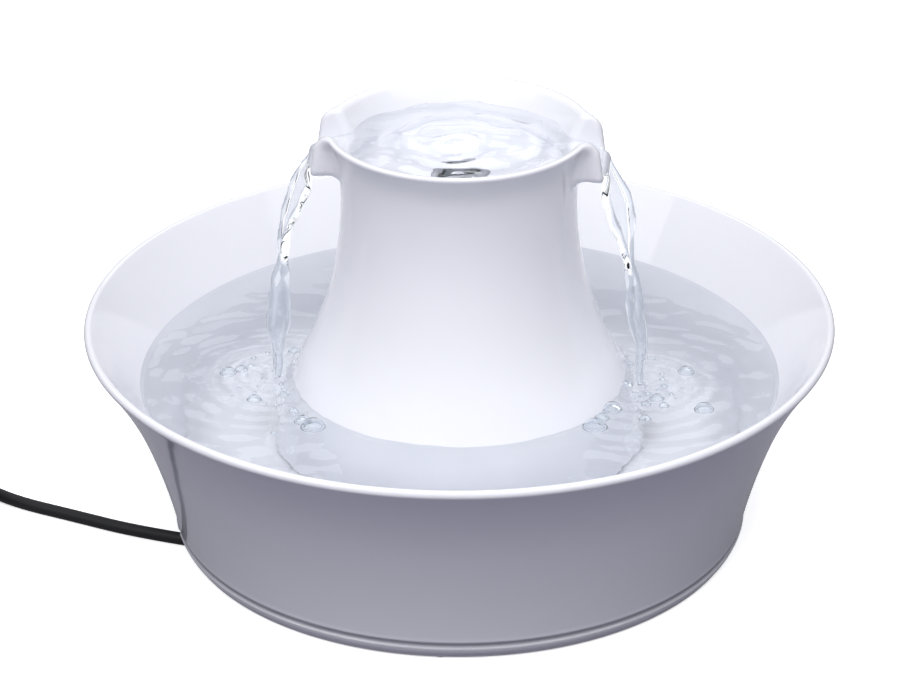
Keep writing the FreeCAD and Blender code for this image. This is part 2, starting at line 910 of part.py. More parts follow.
# The lead from the pump's gland, down through the stopper and out under the foot ring.
lead_route = places([
    (-pump_width / 2, gland_y, gland_z),
    (-38.5, gland_y, gland_z),
    (stopper_x, stopper_y, 32.0),
    (stopper_x, stopper_y, lead_level),
    (-54.0, -29.5, lead_level),
    (-82.0, -36.8, cord_level),
    (-105.6, -32.0, cord_level),
])

# The free cord on the ground, as far as the coil.
run_route = places([
    (-105.6, -32.0, cord_level),
    (-127.8, -26.4, cord_level),
    (-153.3, -15.8, cord_level),
    (-181.0, -4.9, cord_level),
])


def cord_notch():
    """A round-topped notch through the foot ring, along the way that the cord leaves."""
    exit_point, heading = lead_route[-1], (lead_route[-1] - lead_route[-2]).normalize()
    half = notch_width / 2
    notch = (
        Outline(-half, -1)
        .line(-half, notch_height - half)
        .arc((0, notch_height), (half, notch_height - half))
        .line(half, -1)
        .push(-foot_ring_width * 2, foot_ring_width)
    )
    angle = math.degrees(math.atan2(heading.y, heading.x)) - 90
    notch = turned(notch, angle)
    return moved(notch, exit_point.x, exit_point.y)


def make_pump_lead():
    edges, radii = bend_route(lead_route)
    print("lead bends", [round(r, 1) for r in radii])
    return tube(edges, cord_diameter / 2, "pump lead")


def make_cord_stopper():
    """A rubber stopper in the floor's hole: the lead goes in from above and out at its side."""
    stopper = (
        Outline(0, floor_top + stopper_flange)
        .line(stopper_flange_radius - stopper_bevel, floor_top + stopper_flange)
        .line(stopper_flange_radius, floor_top + stopper_flange - stopper_bevel)
        .line(stopper_flange_radius, floor_top)
        .line(stopper_neck_radius - seat_clearance, floor_top)
        .line(stopper_neck_radius - seat_clearance, floor_under)
        .line(stopper_head_radius, floor_under)
        .line(stopper_head_radius - stopper_head_taper, stopper_head_gap)
        .line(0, stopper_head_gap)
        .spin()
    )
    edges, _ = bend_route(lead_route)
    bore = tube(edges, cord_diameter / 2 + cord_clearance)
    return moved(stopper, stopper_x, stopper_y).cut(bore)


def make_lead_gland():
    """A tapered rubber gland on the motor block's side."""
    outwards = Vector(-1, 0, 0)
    root = Vector(-pump_width / 2, gland_y, gland_z)
    gland = Part.makeCone(gland_root_radius, gland_tip_radius, gland_length, root, outwards)
    bore_radius = cord_diameter / 2 + cord_clearance
    bore = Part.makeCylinder(bore_radius, gland_length + 2, root - outwards, outwards)
    return gland.cut(bore)


coil_base = cord_level + tie_thickness + tie_clearance
coil_inner_radius = coil_outer_radius - coil_pitch * coil_turns_per_layer


def coil_state(turns):
    """Radius, height and angle of the cord's centre after some turns of the coil."""
    whole = coil_turns_per_layer + 0.5
    layer = min(int(turns / whole + 1e-9), coil_layers - 1)
    into = turns - layer * whole
    wound = min(into, coil_turns_per_layer)
    climb = max(0.0, into - coil_turns_per_layer) / 0.5
    start_radius, sign = (coil_outer_radius, -1) if layer % 2 == 0 else (coil_inner_radius, 1)
    swing = coil_pitch / (2 * math.pi) * math.sin(math.pi * climb)
    radius = start_radius + sign * (coil_pitch * wound + swing)
    height = coil_base + coil_layer_step * (layer + climb * climb * (3 - 2 * climb))
    return radius, height, math.radians(coil_start_angle + 360.0 * turns)


def coil_point(turns):
    radius, height, angle = coil_state(turns)
    return Vector(coil_x + radius * math.cos(angle), coil_y + radius * math.sin(angle), height)


def coil_heading(turns):
    step = 1e-4
    before, after = max(turns - step, 0), turns + step
    return (coil_point(after) - coil_point(before)).normalize()


def coil_turns():
    return coil_layers * coil_turns_per_layer + (coil_layers - 1) * 0.5


def coil_edges():
    """Biarcs of half a turn through the layered spiral."""
    halves = int(round(coil_turns() * 2))
    stations = [coil_turns() * k / halves for k in range(halves + 1)]
    edges = []
    for a, b in zip(stations, stations[1:]):
        edges += biarc(coil_point(a), coil_heading(a), coil_point(b), coil_heading(b))
    return edges


def coil_least_gap():
    """The least distance between turns, measured on points, less the cord's diameter."""
    per_turn = 48
    points = [coil_point(k / per_turn) for k in range(int(coil_turns() * per_turn) + 1)]
    least = 1e9
    for i, point in enumerate(points):
        for other in points[i + per_turn // 2:]:
            least = min(least, point.distanceToPoint(other))
    return least - cord_diameter


def make_cord_coil():
    print(f"coil: turns {coil_turns():.2f}, least gap between turns {coil_least_gap():.2f}")
    print(f"coil: tightest turn radius {coil_inner_radius:.1f}")
    return tube(coil_edges(), cord_diameter / 2, "cord coil")


def run_points():
    """The hand-chosen route, then into the coil's first turn."""
    start, heading = coil_point(0), coil_heading(0)
    return run_route + [start - heading * coil_lead_in, start]


def make_cord_run():
    edges, radii = bend_route(run_points())
    print("run bends", [round(r, 1) for r in radii])
    return tube(edges, cord_diameter / 2, "cord run")


def tail_points():
    """From the coil's last turn down to the adapter's strain relief."""
    end, heading = coil_point(coil_turns()), coil_heading(coil_turns() - 1e-3)
    last = Vector(adapter_x, adapter_y - relief_length, adapter_height / 2)
    over = end + heading * tail_reach - Z_AXIS * tail_drop
    return [end, over, last - Y_AXIS * tail_lead_in, last]


def make_cord_tail():
    edges, radii = bend_route(tail_points())
    print("tail bends", [round(r, 1) for r in radii])
    return tube(edges, cord_diameter / 2, "cord tail")


def make_coil_tie():
    """A strap round the coil's bundle of turns, on the side away from the bowl."""
    low = coil_base - cord_diameter / 2 - tie_clearance
    high = coil_base + coil_layer_step * (coil_layers - 1) + cord_diameter / 2 + tie_clearance
    inner = coil_inner_radius - cord_diameter / 2 - tie_clearance - coil_pitch / 2
    outer = coil_outer_radius + cord_diameter / 2 + tie_clearance + coil_pitch / 2
    half = tie_width / 2
    round_inside = cord_diameter / 2
    hole = strap_outline(inner, outer, low, high, round_inside, half)
    t = tie_thickness
    strap = strap_outline(inner - t, outer + t, low - t, high + t, round_inside + t, half)
    return moved(turned(strap.cut(hole), tie_angle), coil_x, coil_y)


def strap_outline(x_from, x_to, z_from, z_to, radius, half):
    solid = block((x_from, x_to), (-half, half), (z_from, z_to))
    along = [e for e in solid.Edges if abs(e.tangentAt(e.FirstParameter).y) > 0.99]
    return solid.makeFillet(radius, along)


def adapter_half(z_from, z_to):
    half = adapter_width / 2
    x = (adapter_x - half, adapter_x + half)
    y = (adapter_y, adapter_y + adapter_length)
    return rounded_block(x, y, (z_from, z_to), adapter_corner)


def make_adapter_back():
    back = adapter_half(0, adapter_seam_height)
    return back.makeFillet(adapter_edge, edges_at(back, 0))


def make_adapter_face():
    """The half that carries the two blades."""
    face = adapter_half(adapter_seam_height, adapter_height)
    return face.makeFillet(adapter_edge, edges_at(face, adapter_height))


def make_adapter_blades():
    blades = []
    y = adapter_y + adapter_length - blade_from_end
    tip = adapter_height + blade_length
    half_thickness = blade_thickness / 2
    width_span = (y - blade_width / 2, y + blade_width / 2)
    for side in (-1, 1):
        x = adapter_x + side * blade_spacing / 2
        blade = block((x - half_thickness, x + half_thickness), width_span, (adapter_height, tip))
        hole_start = Vector(x - blade_thickness, y, tip - blade_hole_from_tip)
        hole = Part.makeCylinder(blade_hole_radius, blade_thickness * 2, hole_start, Vector(1, 0, 0))
        ends = edges_at(blade, tip)
        blades.append(blade.makeChamfer(blade_chamfer, ends).cut(hole))
    return Part.makeCompound(blades)


def make_adapter_relief():
    """A grooved, tapered strain relief on the adapter's short end."""
    base = Vector(adapter_x, adapter_y, adapter_height / 2)
    relief = Part.makeCone(relief_root_radius, relief_tip_radius, relief_length, base, Vector(0, -1, 0))
    for k in range(relief_groove_count):
        share = (k + 1) / (relief_groove_count + 1)
        y = adapter_y - relief_length * share
        surface_radius = relief_root_radius + (relief_tip_radius - relief_root_radius) * share
        core_radius = surface_radius - relief_groove_depth
        groove = rod(relief_root_radius + 1, y, y + relief_groove_width, adapter_x, base.z)
        relief = relief.cut(groove.cut(rod(core_radius, y, y + relief_groove_width, adapter_x, base.z)))
    return relief


pieces = {
    "bowl": make_bowl,
    "foot_pads": make_foot_pads,
    "tower": make_tower,
    "tower_strips": make_tower_strips,
    "deck_grommet": make_deck_grommet,
    "riser_tube": make_riser_tube,
    "pump_housing": make_pump_housing,
    "housing_gasket": make_housing_gasket,
    "volute_plate": make_volute_plate,
    "shaft_bushes": make_shaft_bushes,
    "rotor_shaft": make_rotor_shaft,
    "rotor_magnet": make_rotor_magnet,
    "impeller": make_impeller,
    "intake_cover": make_intake_cover,
    "flow_dial": make_flow_dial,
    "suction_cups": make_suction_cups,
    "cartridge_cage": make_cartridge_cage,
    "carbon_pack": make_carbon_pack,
    "foam_ring": make_foam_ring,
    "lead_gland": make_lead_gland,
    "pump_lead": make_pump_lead,
    "cord_stopper": make_cord_stopper,
    "cord_run": make_cord_run,
    "cord_coil": make_cord_coil,
    "coil_tie": make_coil_tie,
    "cord_tail": make_cord_tail,
    "adapter_back": make_adapter_back,
    "adapter_face": make_adapter_face,
    "adapter_blades": make_adapter_blades,
    "adapter_relief": make_adapter_relief,
}

os.makedirs("parts", exist_ok=True)
for name, make in pieces.items():
    shape = make()
    if not shape.isValid():
        print("not valid:", name)
    print(f"{name}: {len(shape.Solids)} solids, volume {shape.Volume / 1000:.2f} cm3, box {shape.BoundBox}")
    shape.exportStep(f"parts/{name}.step")
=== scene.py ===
# %% [markdown]
# # A pet water fountain in glazed ceramic
# The real object is a flared bowl and a hollow tower, both cast in clay and glazed, with a small
# pump hidden inside. The working model already gives every piece its place and its size.
# This lesson dresses that model: glaze, moving water, rubber, plastic and a cord at its real
# length. We load it first, because everything that follows is placed on it.

import json
from math import atan2, cos, degrees, exp, hypot, pi, radians, sin, sqrt, tan

import bmesh
import bpy
import numpy as np
from mathutils import Matrix, Vector, noise


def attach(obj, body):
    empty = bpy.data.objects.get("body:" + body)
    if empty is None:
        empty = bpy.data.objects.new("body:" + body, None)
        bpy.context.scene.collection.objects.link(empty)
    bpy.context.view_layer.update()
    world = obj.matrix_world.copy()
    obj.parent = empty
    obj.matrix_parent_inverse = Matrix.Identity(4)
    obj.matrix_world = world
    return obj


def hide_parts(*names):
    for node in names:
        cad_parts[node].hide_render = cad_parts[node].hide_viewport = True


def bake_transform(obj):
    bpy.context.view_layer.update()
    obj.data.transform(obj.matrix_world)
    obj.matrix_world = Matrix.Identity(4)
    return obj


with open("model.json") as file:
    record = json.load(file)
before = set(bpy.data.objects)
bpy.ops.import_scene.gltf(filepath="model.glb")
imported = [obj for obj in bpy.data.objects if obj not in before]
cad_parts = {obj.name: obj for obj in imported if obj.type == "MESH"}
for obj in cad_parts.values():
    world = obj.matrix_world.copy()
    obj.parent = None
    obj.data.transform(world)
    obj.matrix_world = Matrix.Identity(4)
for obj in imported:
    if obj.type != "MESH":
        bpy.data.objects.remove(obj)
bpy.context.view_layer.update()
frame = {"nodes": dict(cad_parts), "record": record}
MM = 0.001

# %% [markdown]
# ## The camera
# A product photograph is taken with a long lens from well back, so that the rim's ellipse stays
# calm. Fitting circles to the rim and the foot gave the lens and the place. Blender wants the
# lens in millimetres on a 36 mm sensor, so the focal length in pixels is scaled to that. The
# optical axis lies a little right of the picture's middle, and a small shift says so.

# %% The camera
picture_width = 900
focal_pixels = 3564.0
axis_pixel_x = 459.4
sensor_width = 36.0
camera_place = (0.0872, -1.2471, 0.6997)
heading, look_down, roll = 4.0, 26.52, -0.194


def placed(name, data):
    """A new object that shows some data, linked into the scene."""
    made = bpy.data.objects.new(name, data)
    bpy.context.scene.collection.objects.link(made)
    return made


def turned_by(angle, axis):
    return Matrix.Rotation(radians(angle), 4, axis)


camera_data = bpy.data.cameras.new("camera")
camera_data.sensor_width = sensor_width
camera_data.lens = focal_pixels / picture_width * sensor_width
camera_data.shift_x = (picture_width / 2 - axis_pixel_x) / picture_width
camera = placed("camera", camera_data)
aim = turned_by(heading, "Z") @ turned_by(90 - look_down, "X")
camera.matrix_world = Matrix.Translation(camera_place) @ aim @ turned_by(roll, "Z")
bpy.context.scene.camera = camera
print(f"lens {camera_data.lens:.1f} mm, shift {camera_data.shift_x:.4f}")

# %% [markdown]
# ## The cord
# The pump's lead leaves under the foot ring and runs over the table to a small mains adapter.
# Such a pump has about 1.8 m of 5 mm cord. The part of it that nobody sees is wound into a neat
# coil. One smooth NURBS line carries all of it: a few points given for the loose
# stretch, and a loop of points for the coil, whose turns lie beside and on each other.

# %% The coil's turns
cord_diameter = 0.005
ground_level = 0.00255
coil_middle = (-0.2295, -0.0180)
coil_outer, coil_pitch, layer_step = 0.0324, 0.0057, 0.0056
coil_layers, turns_per_layer = 4, 2.1
coil_start_angle = 68.0
coil_base = ground_level + 0.0009 + 0.00025
points_per_turn = 24
spread = 1 / cos(pi / points_per_turn)


def coil_point(turns):
    """A control point of the coil: layers that spiral in and out, and climb in half a turn."""
    whole = turns_per_layer + 0.5
    layer = min(int(turns / whole + 1e-9), coil_layers - 1)
    wound = min(turns - layer * whole, turns_per_layer)
    climb = max(0.0, turns - layer * whole - turns_per_layer) / 0.5
    coil_inner = coil_outer - coil_pitch * turns_per_layer
    start, sign = (coil_outer, -1) if layer % 2 == 0 else (coil_inner, 1)
    swing = coil_pitch / (2 * pi) * sin(pi * climb)
    radius = (start + sign * (coil_pitch * wound + swing)) * spread
    height = coil_base + layer_step * (layer + climb * climb * (3 - 2 * climb))
    angle = radians(coil_start_angle + 360 * turns)
    x, y = radius * cos(angle), radius * sin(angle)
    return Vector((coil_middle[0] + x, coil_middle[1] + y, height))


coil_turns = coil_layers * turns_per_layer + (coil_layers - 1) * 0.5
coil = [coil_point(k / points_per_turn) for k in range(int(coil_turns * points_per_turn) + 1)]
print(f"coil: {coil_turns:.1f} turns, {len(coil)} points")

# %% The cord's line
exit_point = Vector((-0.1056, -0.0320, ground_level))
loose_points = [
    exit_point,
    Vector((-0.1278, -0.0264, ground_level)),
    Vector((-0.1533, -0.0158, ground_level)),
    Vector((-0.1810, -0.0049, ground_level)),
]
coil_lead_in, coil_lead_out, lead_out_drop = 0.018, 0.016, Vector((0, 0, 0.0015))
tail_points = [Vector((-0.237, 0.0315, 0.014)), Vector((-0.237, 0.062, 0.014))]
into_coil = coil[0] - (coil[1] - coil[0]).normalized() * coil_lead_in
out_of_coil = coil[-1] + (coil[-1] - coil[-2]).normalized() * coil_lead_out - lead_out_drop

cord_curve = bpy.data.curves.new("power_cord", "CURVE")
cord_curve.dimensions = "3D"
line = cord_curve.splines.new("NURBS")
cord_points = loose_points + [into_coil] + coil + [out_of_coil] + tail_points
line.points.add(len(cord_points) - 1)
for place, control in zip(cord_points, line.points):
    control.co = (*place, 1.0)
line.order_u = 3
line.use_endpoint_u = True
cord_curve.resolution_u = 6
cord_curve.bevel_depth = cord_diameter / 2
cord_curve.bevel_resolution = 5
cord_curve.use_fill_caps = True
power_cord = placed("power_cord", cord_curve)
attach(power_cord, "base")
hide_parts("cord_run", "cord_coil", "cord_tail")
print(f"cord line: {line.calc_length():.3f} m")

# %% [markdown]
# ## Arithmetic for materials
# A material in Blender is a graph of nodes. Long graphs are hard to read when each sum is a node
# that is made and wired by hand. So one small class wraps a socket: adding or multiplying two of
# them adds the Math node, and one method makes every other node.

# %% A socket that understands sums
def written(operation):
    """The method behind a sign of arithmetic, which adds one Math node."""
    return lambda self, other: self.sum_node(operation, self, other)


class Wire:
    """A socket in a material's graph, on which arithmetic is written as Python."""

    def __init__(self, tree, socket=None):
        self.tree = tree
        self.socket = socket

    def node(self, kind, settings=None, values=None, output=0):
        """Adds a node: first its settings, then the values or links of its sockets."""
        made = self.tree.nodes.new("ShaderNode" + kind)
        for name, setting in (settings or {}).items():
            if name == "stops":
                ramp = made.color_ramp
                while len(ramp.elements) < len(setting):
                    ramp.elements.new(0.5)
                for element, (place, colour) in zip(ramp.elements, setting):
                    element.position = place
                    element.color = (*colour, 1.0)
            else:
                setattr(made, name, setting)
        for name, value in (values or {}).items():
            socket = made.inputs[name]
            if isinstance(value, Wire):
                self.tree.links.new(value.socket, socket)
            elif isinstance(value, tuple) and socket.type == "RGBA":
                socket.default_value = (*value, 1.0)
            else:
                socket.default_value = value
        return Wire(self.tree, made.outputs[output])

    def sum_node(self, operation, first, second):
        return self.node("Math", {"operation": operation}, {0: first, 1: second})

    def __rsub__(self, other):
        return self.sum_node("SUBTRACT", other, self)

    __add__, __sub__ = written("ADD"), written("SUBTRACT")
    __mul__, __truediv__ = written("MULTIPLY"), written("DIVIDE")
    __gt__ = written("GREATER_THAN")

    def clamped(self):
        return self.node("Clamp", {}, {"Value": self})


# %% Small words that the finishes share
COLOUR_A, COLOUR_B, COLOUR_OUT = 6, 7, 2


def blend_colours(wire, share, first, second):
    """One colour turning into another as the share goes from 0 to 1."""
    mix = {"data_type": "RGBA"}
    return wire.node("Mix", mix, {0: share, COLOUR_A: first, COLOUR_B: second}, COLOUR_OUT)


def place_on_piece(wire):
    """Where a point lies on its piece, in metres."""
    return wire.node("TexCoord", output="Object")


def cloud(wire, size, detail=2.0):
    """Soft noise whose patches are about one size across, in metres, from 0 to 1."""
    values = {"Vector": place_on_piece(wire), "Scale": 1 / size, "Detail": detail}
    return wire.node("TexNoise", {}, values)


def relief(wire, height, depth):
    """Turns a height from 0 to 1 into small relief of a depth in metres."""
    return wire.node("Bump", {}, {"Height": height, "Distance": depth, "Strength": 1.0})


def painted(made, kind, surface):
    """A material or world whose surface is made by a function of an empty wire."""
    made.use_nodes = True
    tree = made.node_tree
    tree.nodes.clear()
    shown = surface(Wire(tree)).socket
    tree.links.new(shown, tree.nodes.new("ShaderNodeOutput" + kind).inputs["Surface"])
    return made


def material(name, surface):
    return painted(bpy.data.materials.new(name), "Material", surface)


# %% [markdown]
# ## The table and the light
# The photograph shows the fountain cut out on white, with only a soft shadow under its foot. The
# table lights the object as a dark sheet would, but the camera and a view through water see it
# lifted to white, and a mirroring surface sees a part of that. The main light is a broad lamp
# from the front, which gloss doesn't mirror, or it would stand as a bright square in the dish.
# Weaker lamps from above, both sides and behind light the insides and round the form.

# %% The table
table_half = 4.0
table_tone = (0.115, 0.108, 0.165)
table_seen = (0.90, 0.90, 0.90)
table_lift = 0.62
glossy_share = 0.22


def seen_directly(wire):
    """1 for a ray from the camera or through glass, less for a reflection, and otherwise 0."""
    camera_ray = wire.node("LightPath", output="Is Camera Ray")
    glossy_ray = wire.node("LightPath", output="Is Glossy Ray")
    through_ray = wire.node("LightPath", output="Is Transmission Ray")
    return (camera_ray + glossy_ray * glossy_share + through_ray).clamped()


def table_surface(wire):
    matt = wire.node("BsdfDiffuse", {}, {"Color": table_tone})
    pale = wire.node("BsdfDiffuse", {}, {"Color": table_seen})
    lift = wire.node("Emission", {}, {"Color": (1.0, 1.0, 1.0), "Strength": table_lift})
    lifted = wire.node("AddShader", {}, {0: pale, 1: lift})
    return wire.node("MixShader", {}, {0: seen_directly(wire), 1: matt, 2: lifted})


table_mesh = bpy.data.meshes.new("table")
corners = [(-table_half, -table_half, 0), (table_half, -table_half, 0), (table_half, table_half, 0)]
table_mesh.from_pydata(corners + [(-table_half, table_half, 0)], [], [(0, 1, 2, 3)])
table_top = placed("table", table_mesh)
table_mesh.materials.append(material("table", table_surface))

# %% The sky and the lamps
sky_tone = (0.66, 0.70, 1.0)
sky_strength = 0.12


def sky(wire):
    dim = wire.node("Background", {}, {"Color": sky_tone, "Strength": sky_strength})
    white = wire.node("Background", {}, {"Color": (1.0, 1.0, 1.0), "Strength": 1.0})
    return wire.node("MixShader", {}, {0: seen_directly(wire), 1: dim, 2: white})


bpy.context.scene.world = painted(bpy.data.worlds.new("studio"), "World", sky)
bpy.context.scene.view_settings.view_transform = "Standard"

lit_point = Vector((0, 0, 0.08))
# Place, width in metres, power in watts, and whether gloss mirrors the lamp.
lamps = {
    "overhead": ((0.0, 0.25, 1.5), 1.5, 8.0, True),
    "front": ((0.0, -1.2, 1.5), 1.5, 26.0, False),
    "left": ((-1.15, -0.85, 1.4), 1.4, 10.0, True),
    "right": ((1.15, -0.85, 1.4), 1.4, 7.0, True),
    "back": ((0.0, 1.3, 1.4), 1.0, 4.0, True),
}
for name, (place, width, power, mirrored) in lamps.items():
    data = bpy.data.lights.new(name, "AREA")
    data.shape = "SQUARE"
    data.size = width
    data.energy = power
    lamp = placed(name, data)
    lamp.location = place
    lamp.rotation_euler = (lit_point - Vector(place)).to_track_quat("-Z", "Y").to_euler()
    lamp.visible_glossy = mirrored

# %% [markdown]
# ## The glaze
# Glaze is clear glass over white clay: it mirrors sharply, and its surface is never quite flat,
# so a very low, wide relief bends the reflections a little. The groove over the foot lies in deep
# shade, and that shade is painted into the glaze there as a darker tone. The lowest edge of the
# foot, which stands bare in the kiln, is matt and warmer.

# %% Glaze
glaze_white, glaze_shade, shade_size = (0.85, 0.853, 0.89), (0.825, 0.830, 0.872), 0.045
# Painted shade: the groove's darker tone stands for the shadow deep in the groove over the foot.
groove_painted_shade = (0.30, 0.30, 0.34)
groove_middle, groove_spread, groove_radius = 0.0070, 0.0021, 0.108
bare_clay, bare_below, bare_fade, bare_dullness = (0.74, 0.69, 0.62), 0.0011, 0.0004, 0.6
glaze_dullness, dullness_spread, dullness_size = 0.04, 0.05, 0.03
glaze_wave, glaze_wave_depth, glaze_index = 0.016, 0.00009, 1.52


def glazed(wire):
    height = wire.node("SeparateXYZ", {}, {0: place_on_piece(wire)}, output=2)
    bare = ((bare_below - height) / bare_fade).clamped()
    tone = blend_colours(wire, cloud(wire, shade_size, 3.0), glaze_white, glaze_shade)
    reach = wire.node("VectorMath", {"operation": "LENGTH"}, {0: place_on_piece(wire)}, 1)
    # Painted shade: a darker band of glaze at the groove's height, on the bowl's outside only.
    near = wire.sum_node("ABSOLUTE", height - groove_middle, 0.0) / groove_spread
    painted_shade_in_groove = (1 - near).clamped() * (reach > groove_radius)
    tone = blend_colours(wire, painted_shade_in_groove, tone, groove_painted_shade)
    colour = blend_colours(wire, bare, tone, bare_clay)
    dullness = cloud(wire, dullness_size) * dullness_spread + glaze_dullness + bare * bare_dullness
    waves = relief(wire, cloud(wire, glaze_wave, 1.0), glaze_wave_depth)
    values = {"Base Color": colour, "Roughness": dullness, "Normal": waves, "IOR": glaze_index}
    return wire.node("BsdfPrincipled", {}, values)


# %% [markdown]
# ## Moulded and clear materials
# Moulded plastics and rubbers differ in tone, in how dull they are and in the fine grain of their
# moulds, so one function makes them all from those few numbers. Shadows and soft light pass a
# clear material as they would pass a tinted gap, or all that lies under it would be almost black.

# %% Moulded plastic, rubber, metal and cloth
tone_size, dullness_change = 0.012, 0.12
metal_shine, moulded_shine = 0.5, 0.3


def moulded(light, dark, dullness, grain_size, grain_depth, metal=0.0):
    """A finish from two near tones, its dullness and the size and depth of its grain."""

    def surface(wire):
        patches = cloud(wire, tone_size, 4.0)
        colour = blend_colours(wire, patches, light, dark)
        rough = patches * dullness_change + (dullness - dullness_change / 2)
        grain = relief(wire, cloud(wire, grain_size, 3.0), grain_depth)
        values = {"Base Color": colour, "Roughness": rough, "Normal": grain, "Metallic": metal}
        values["Specular IOR Level"] = metal_shine if metal else moulded_shine
        return wire.node("BsdfPrincipled", {}, values)

    return surface


# %% Clear materials
def clear(wire, tint, rough, index, gap_tint, waves=None):
    """A clear body, which shadows and soft light pass as a tinted gap."""
    values = {"Base Color": tint, "Roughness": rough, "IOR": index, "Transmission Weight": 1.0}
    if waves:
        values["Normal"] = waves
    body = wire.node("BsdfPrincipled", {}, values)
    gap = wire.node("BsdfTransparent", {}, {"Color": gap_tint})
    shadow_ray = wire.node("LightPath", output="Is Shadow Ray")
    soft_ray = wire.node("LightPath", output="Is Diffuse Ray")
    return wire.node("MixShader", {}, {0: (shadow_ray + soft_ray).clamped(), 1: body, 2: gap})


def see_through(tint, dullness, index):
    """A clear solid, such as silicone or acrylic."""

    def surface(wire):
        return clear(wire, tint, cloud(wire, 0.006) * 0.06 + dullness, index, tint)

    return surface


# %% [markdown]
# ## Water
# Water's look comes from its surface and from what lies under it. Where the streams land it is
# choppy, and light gathers in thin bright lines. In the dish it turns in broken rings about the
# outlet. Gathered light takes too long to compute, so lines and rings are part of the tint.

# %% Water
water_level, water_index = 64.5, 1.333
landings = [(71.5, -8.0), (-70.8, -9.2)]
water_tint, water_gap = (0.93, 0.955, 0.975), (0.97, 0.98, 0.99)
# The pool's lighter tint is painted light: streaks of gathered light near the landings, and lighter
# patches.
pool_dark_tint, pool_painted_light = (0.56, 0.59, 0.63), (0.72, 0.745, 0.77)
choppy_reach, choppy_grain, choppy_depth, calm_share = 0.042, 0.006, 0.0009, 0.12
streak_size, streak_sharpness = 0.010, 16.0
patch_size, patch_share, patch_drop = 0.028, 0.9, 0.15
# The dish's lighter tint is painted light, in broken rings and patches about the outlet.
dish_dark_tint, dish_painted_light = (0.58, 0.61, 0.65), (0.90, 0.915, 0.935)
broken_rings = {"Scale": 24.0, "Distortion": 9.0, "Detail": 2.0, "Detail Scale": 1.2}
ring_share, swirl_size, swirl_share, swirl_drop, swirl_depth = 0.55, 0.016, 0.9, 0.25, 0.0012


def clear_liquid(wire, tint, waves=None):
    return clear(wire, tint, 0.0, water_index, water_gap, waves)


def falling(wire):
    return clear_liquid(wire, water_tint)


def ridges(wire, size, sharpness):
    """Thin lines of painted light where soft noise passes its middle, as light gathers under ripples."""
    off_middle = wire.sum_node("ABSOLUTE", cloud(wire, size, 1.5) - 0.5, 0.0)
    return (1 - off_middle * sharpness).clamped()


def pooled(wire):
    """The bowl's water: choppy and streaked with painted light near the streams, calm elsewhere."""
    rough = 0.0
    for x, y in landings:
        ends = {0: place_on_piece(wire), 1: (x * MM, y * MM, water_level * MM)}
        away = wire.node("VectorMath", {"operation": "DISTANCE"}, ends, 1)
        rough = (1 - away / choppy_reach).clamped() + rough
    streaks = ridges(wire, streak_size, streak_sharpness) * rough
    patches = cloud(wire, patch_size, 3.0) * patch_share - patch_drop
    # Painted light: streaks and patches lift the tint from the darker colour toward the lighter one.
    tint = blend_colours(wire, (patches + streaks).clamped(), pool_dark_tint, pool_painted_light)
    waves = relief(wire, cloud(wire, choppy_grain, 2.0) * (rough + calm_share), choppy_depth)
    return clear_liquid(wire, tint, waves)


def welling(wire):
    """The dish's water, whose broken rings about the outlet are a small relief and painted light in its
    tint.
    """
    kind = {"wave_type": "RINGS", "rings_direction": "Z"}
    rings = wire.node("TexWave", kind, {"Vector": place_on_piece(wire), **broken_rings}, 1)
    swirl = rings * ring_share + cloud(wire, swirl_size, 3.0) * swirl_share - swirl_drop
    swirl = swirl.clamped()
    # Painted light: the swirl of rings and patches lightens the tint where light would gather.
    tint = blend_colours(wire, swirl, dish_dark_tint, dish_painted_light)
    return clear_liquid(wire, tint, relief(wire, swirl, swirl_depth))


# %% All the finishes by name
surfaces = {
    "glaze": glazed, "water": falling, "pool_water": pooled, "dish_water": welling,
    "clear_rubber": see_through((0.88, 0.90, 0.91), 0.30, 1.41),
    "clear_plastic": see_through((0.92, 0.95, 0.96), 0.05, 1.49),
}
# Two tones, dullness, size and depth of the grain in metres, and 1.0 for a metal.
moulded_rows = {
    "pump_plastic": ((0.03, 0.031, 0.034), (0.041, 0.042, 0.046), 0.46, 0.0004, 0.00003),
    "black_rubber": ((0.022, 0.022, 0.024), (0.03, 0.03, 0.032), 0.62, 0.0007, 0.00002),
    "cup_rubber": ((0.09, 0.09, 0.1), (0.11, 0.11, 0.12), 0.42, 0.0009, 0.00001),
    "steel": ((0.62, 0.63, 0.65), (0.55, 0.56, 0.58), 0.24, 0.0003, 0.000004, 1.0),
    "cord_skin": ((0.012, 0.012, 0.013), (0.018, 0.018, 0.019), 0.52, 0.0006, 0.00002),
    "tie_strap": ((0.04, 0.04, 0.045), (0.06, 0.06, 0.066), 0.92, 0.0005, 0.00022),
    "adapter_plastic": ((0.028, 0.029, 0.032), (0.038, 0.039, 0.042), 0.5, 0.0005, 0.00005),
    "plated_brass": ((0.78, 0.78, 0.76), (0.7, 0.7, 0.67), 0.18, 0.0008, 0.000003, 1.0),
    "grey_rubber": ((0.4, 0.41, 0.44), (0.36, 0.37, 0.4), 0.52, 0.0008, 0.00002),
    "cage_plastic": ((0.8, 0.81, 0.82), (0.84, 0.85, 0.86), 0.4, 0.0006, 0.00002),
    "carbon_felt": ((0.08, 0.08, 0.084), (0.16, 0.16, 0.165), 0.95, 0.0009, 0.0005),
    "foam": ((0.03, 0.034, 0.045), (0.085, 0.092, 0.112), 0.97, 0.0014, 0.0009),
    "magnet": ((0.1, 0.088, 0.08), (0.13, 0.112, 0.1), 0.58, 0.0004, 0.00003),
    "impeller_plastic": ((0.69, 0.7, 0.71), (0.73, 0.74, 0.75), 0.3, 0.0007, 0.00001),
    "dial_plastic": ((0.044, 0.044, 0.049), (0.058, 0.058, 0.064), 0.44, 0.0004, 0.00003),
}
surfaces |= {name: moulded(*row) for name, row in moulded_rows.items()}
finishes = {name: material(name, surface) for name, surface in surfaces.items()}
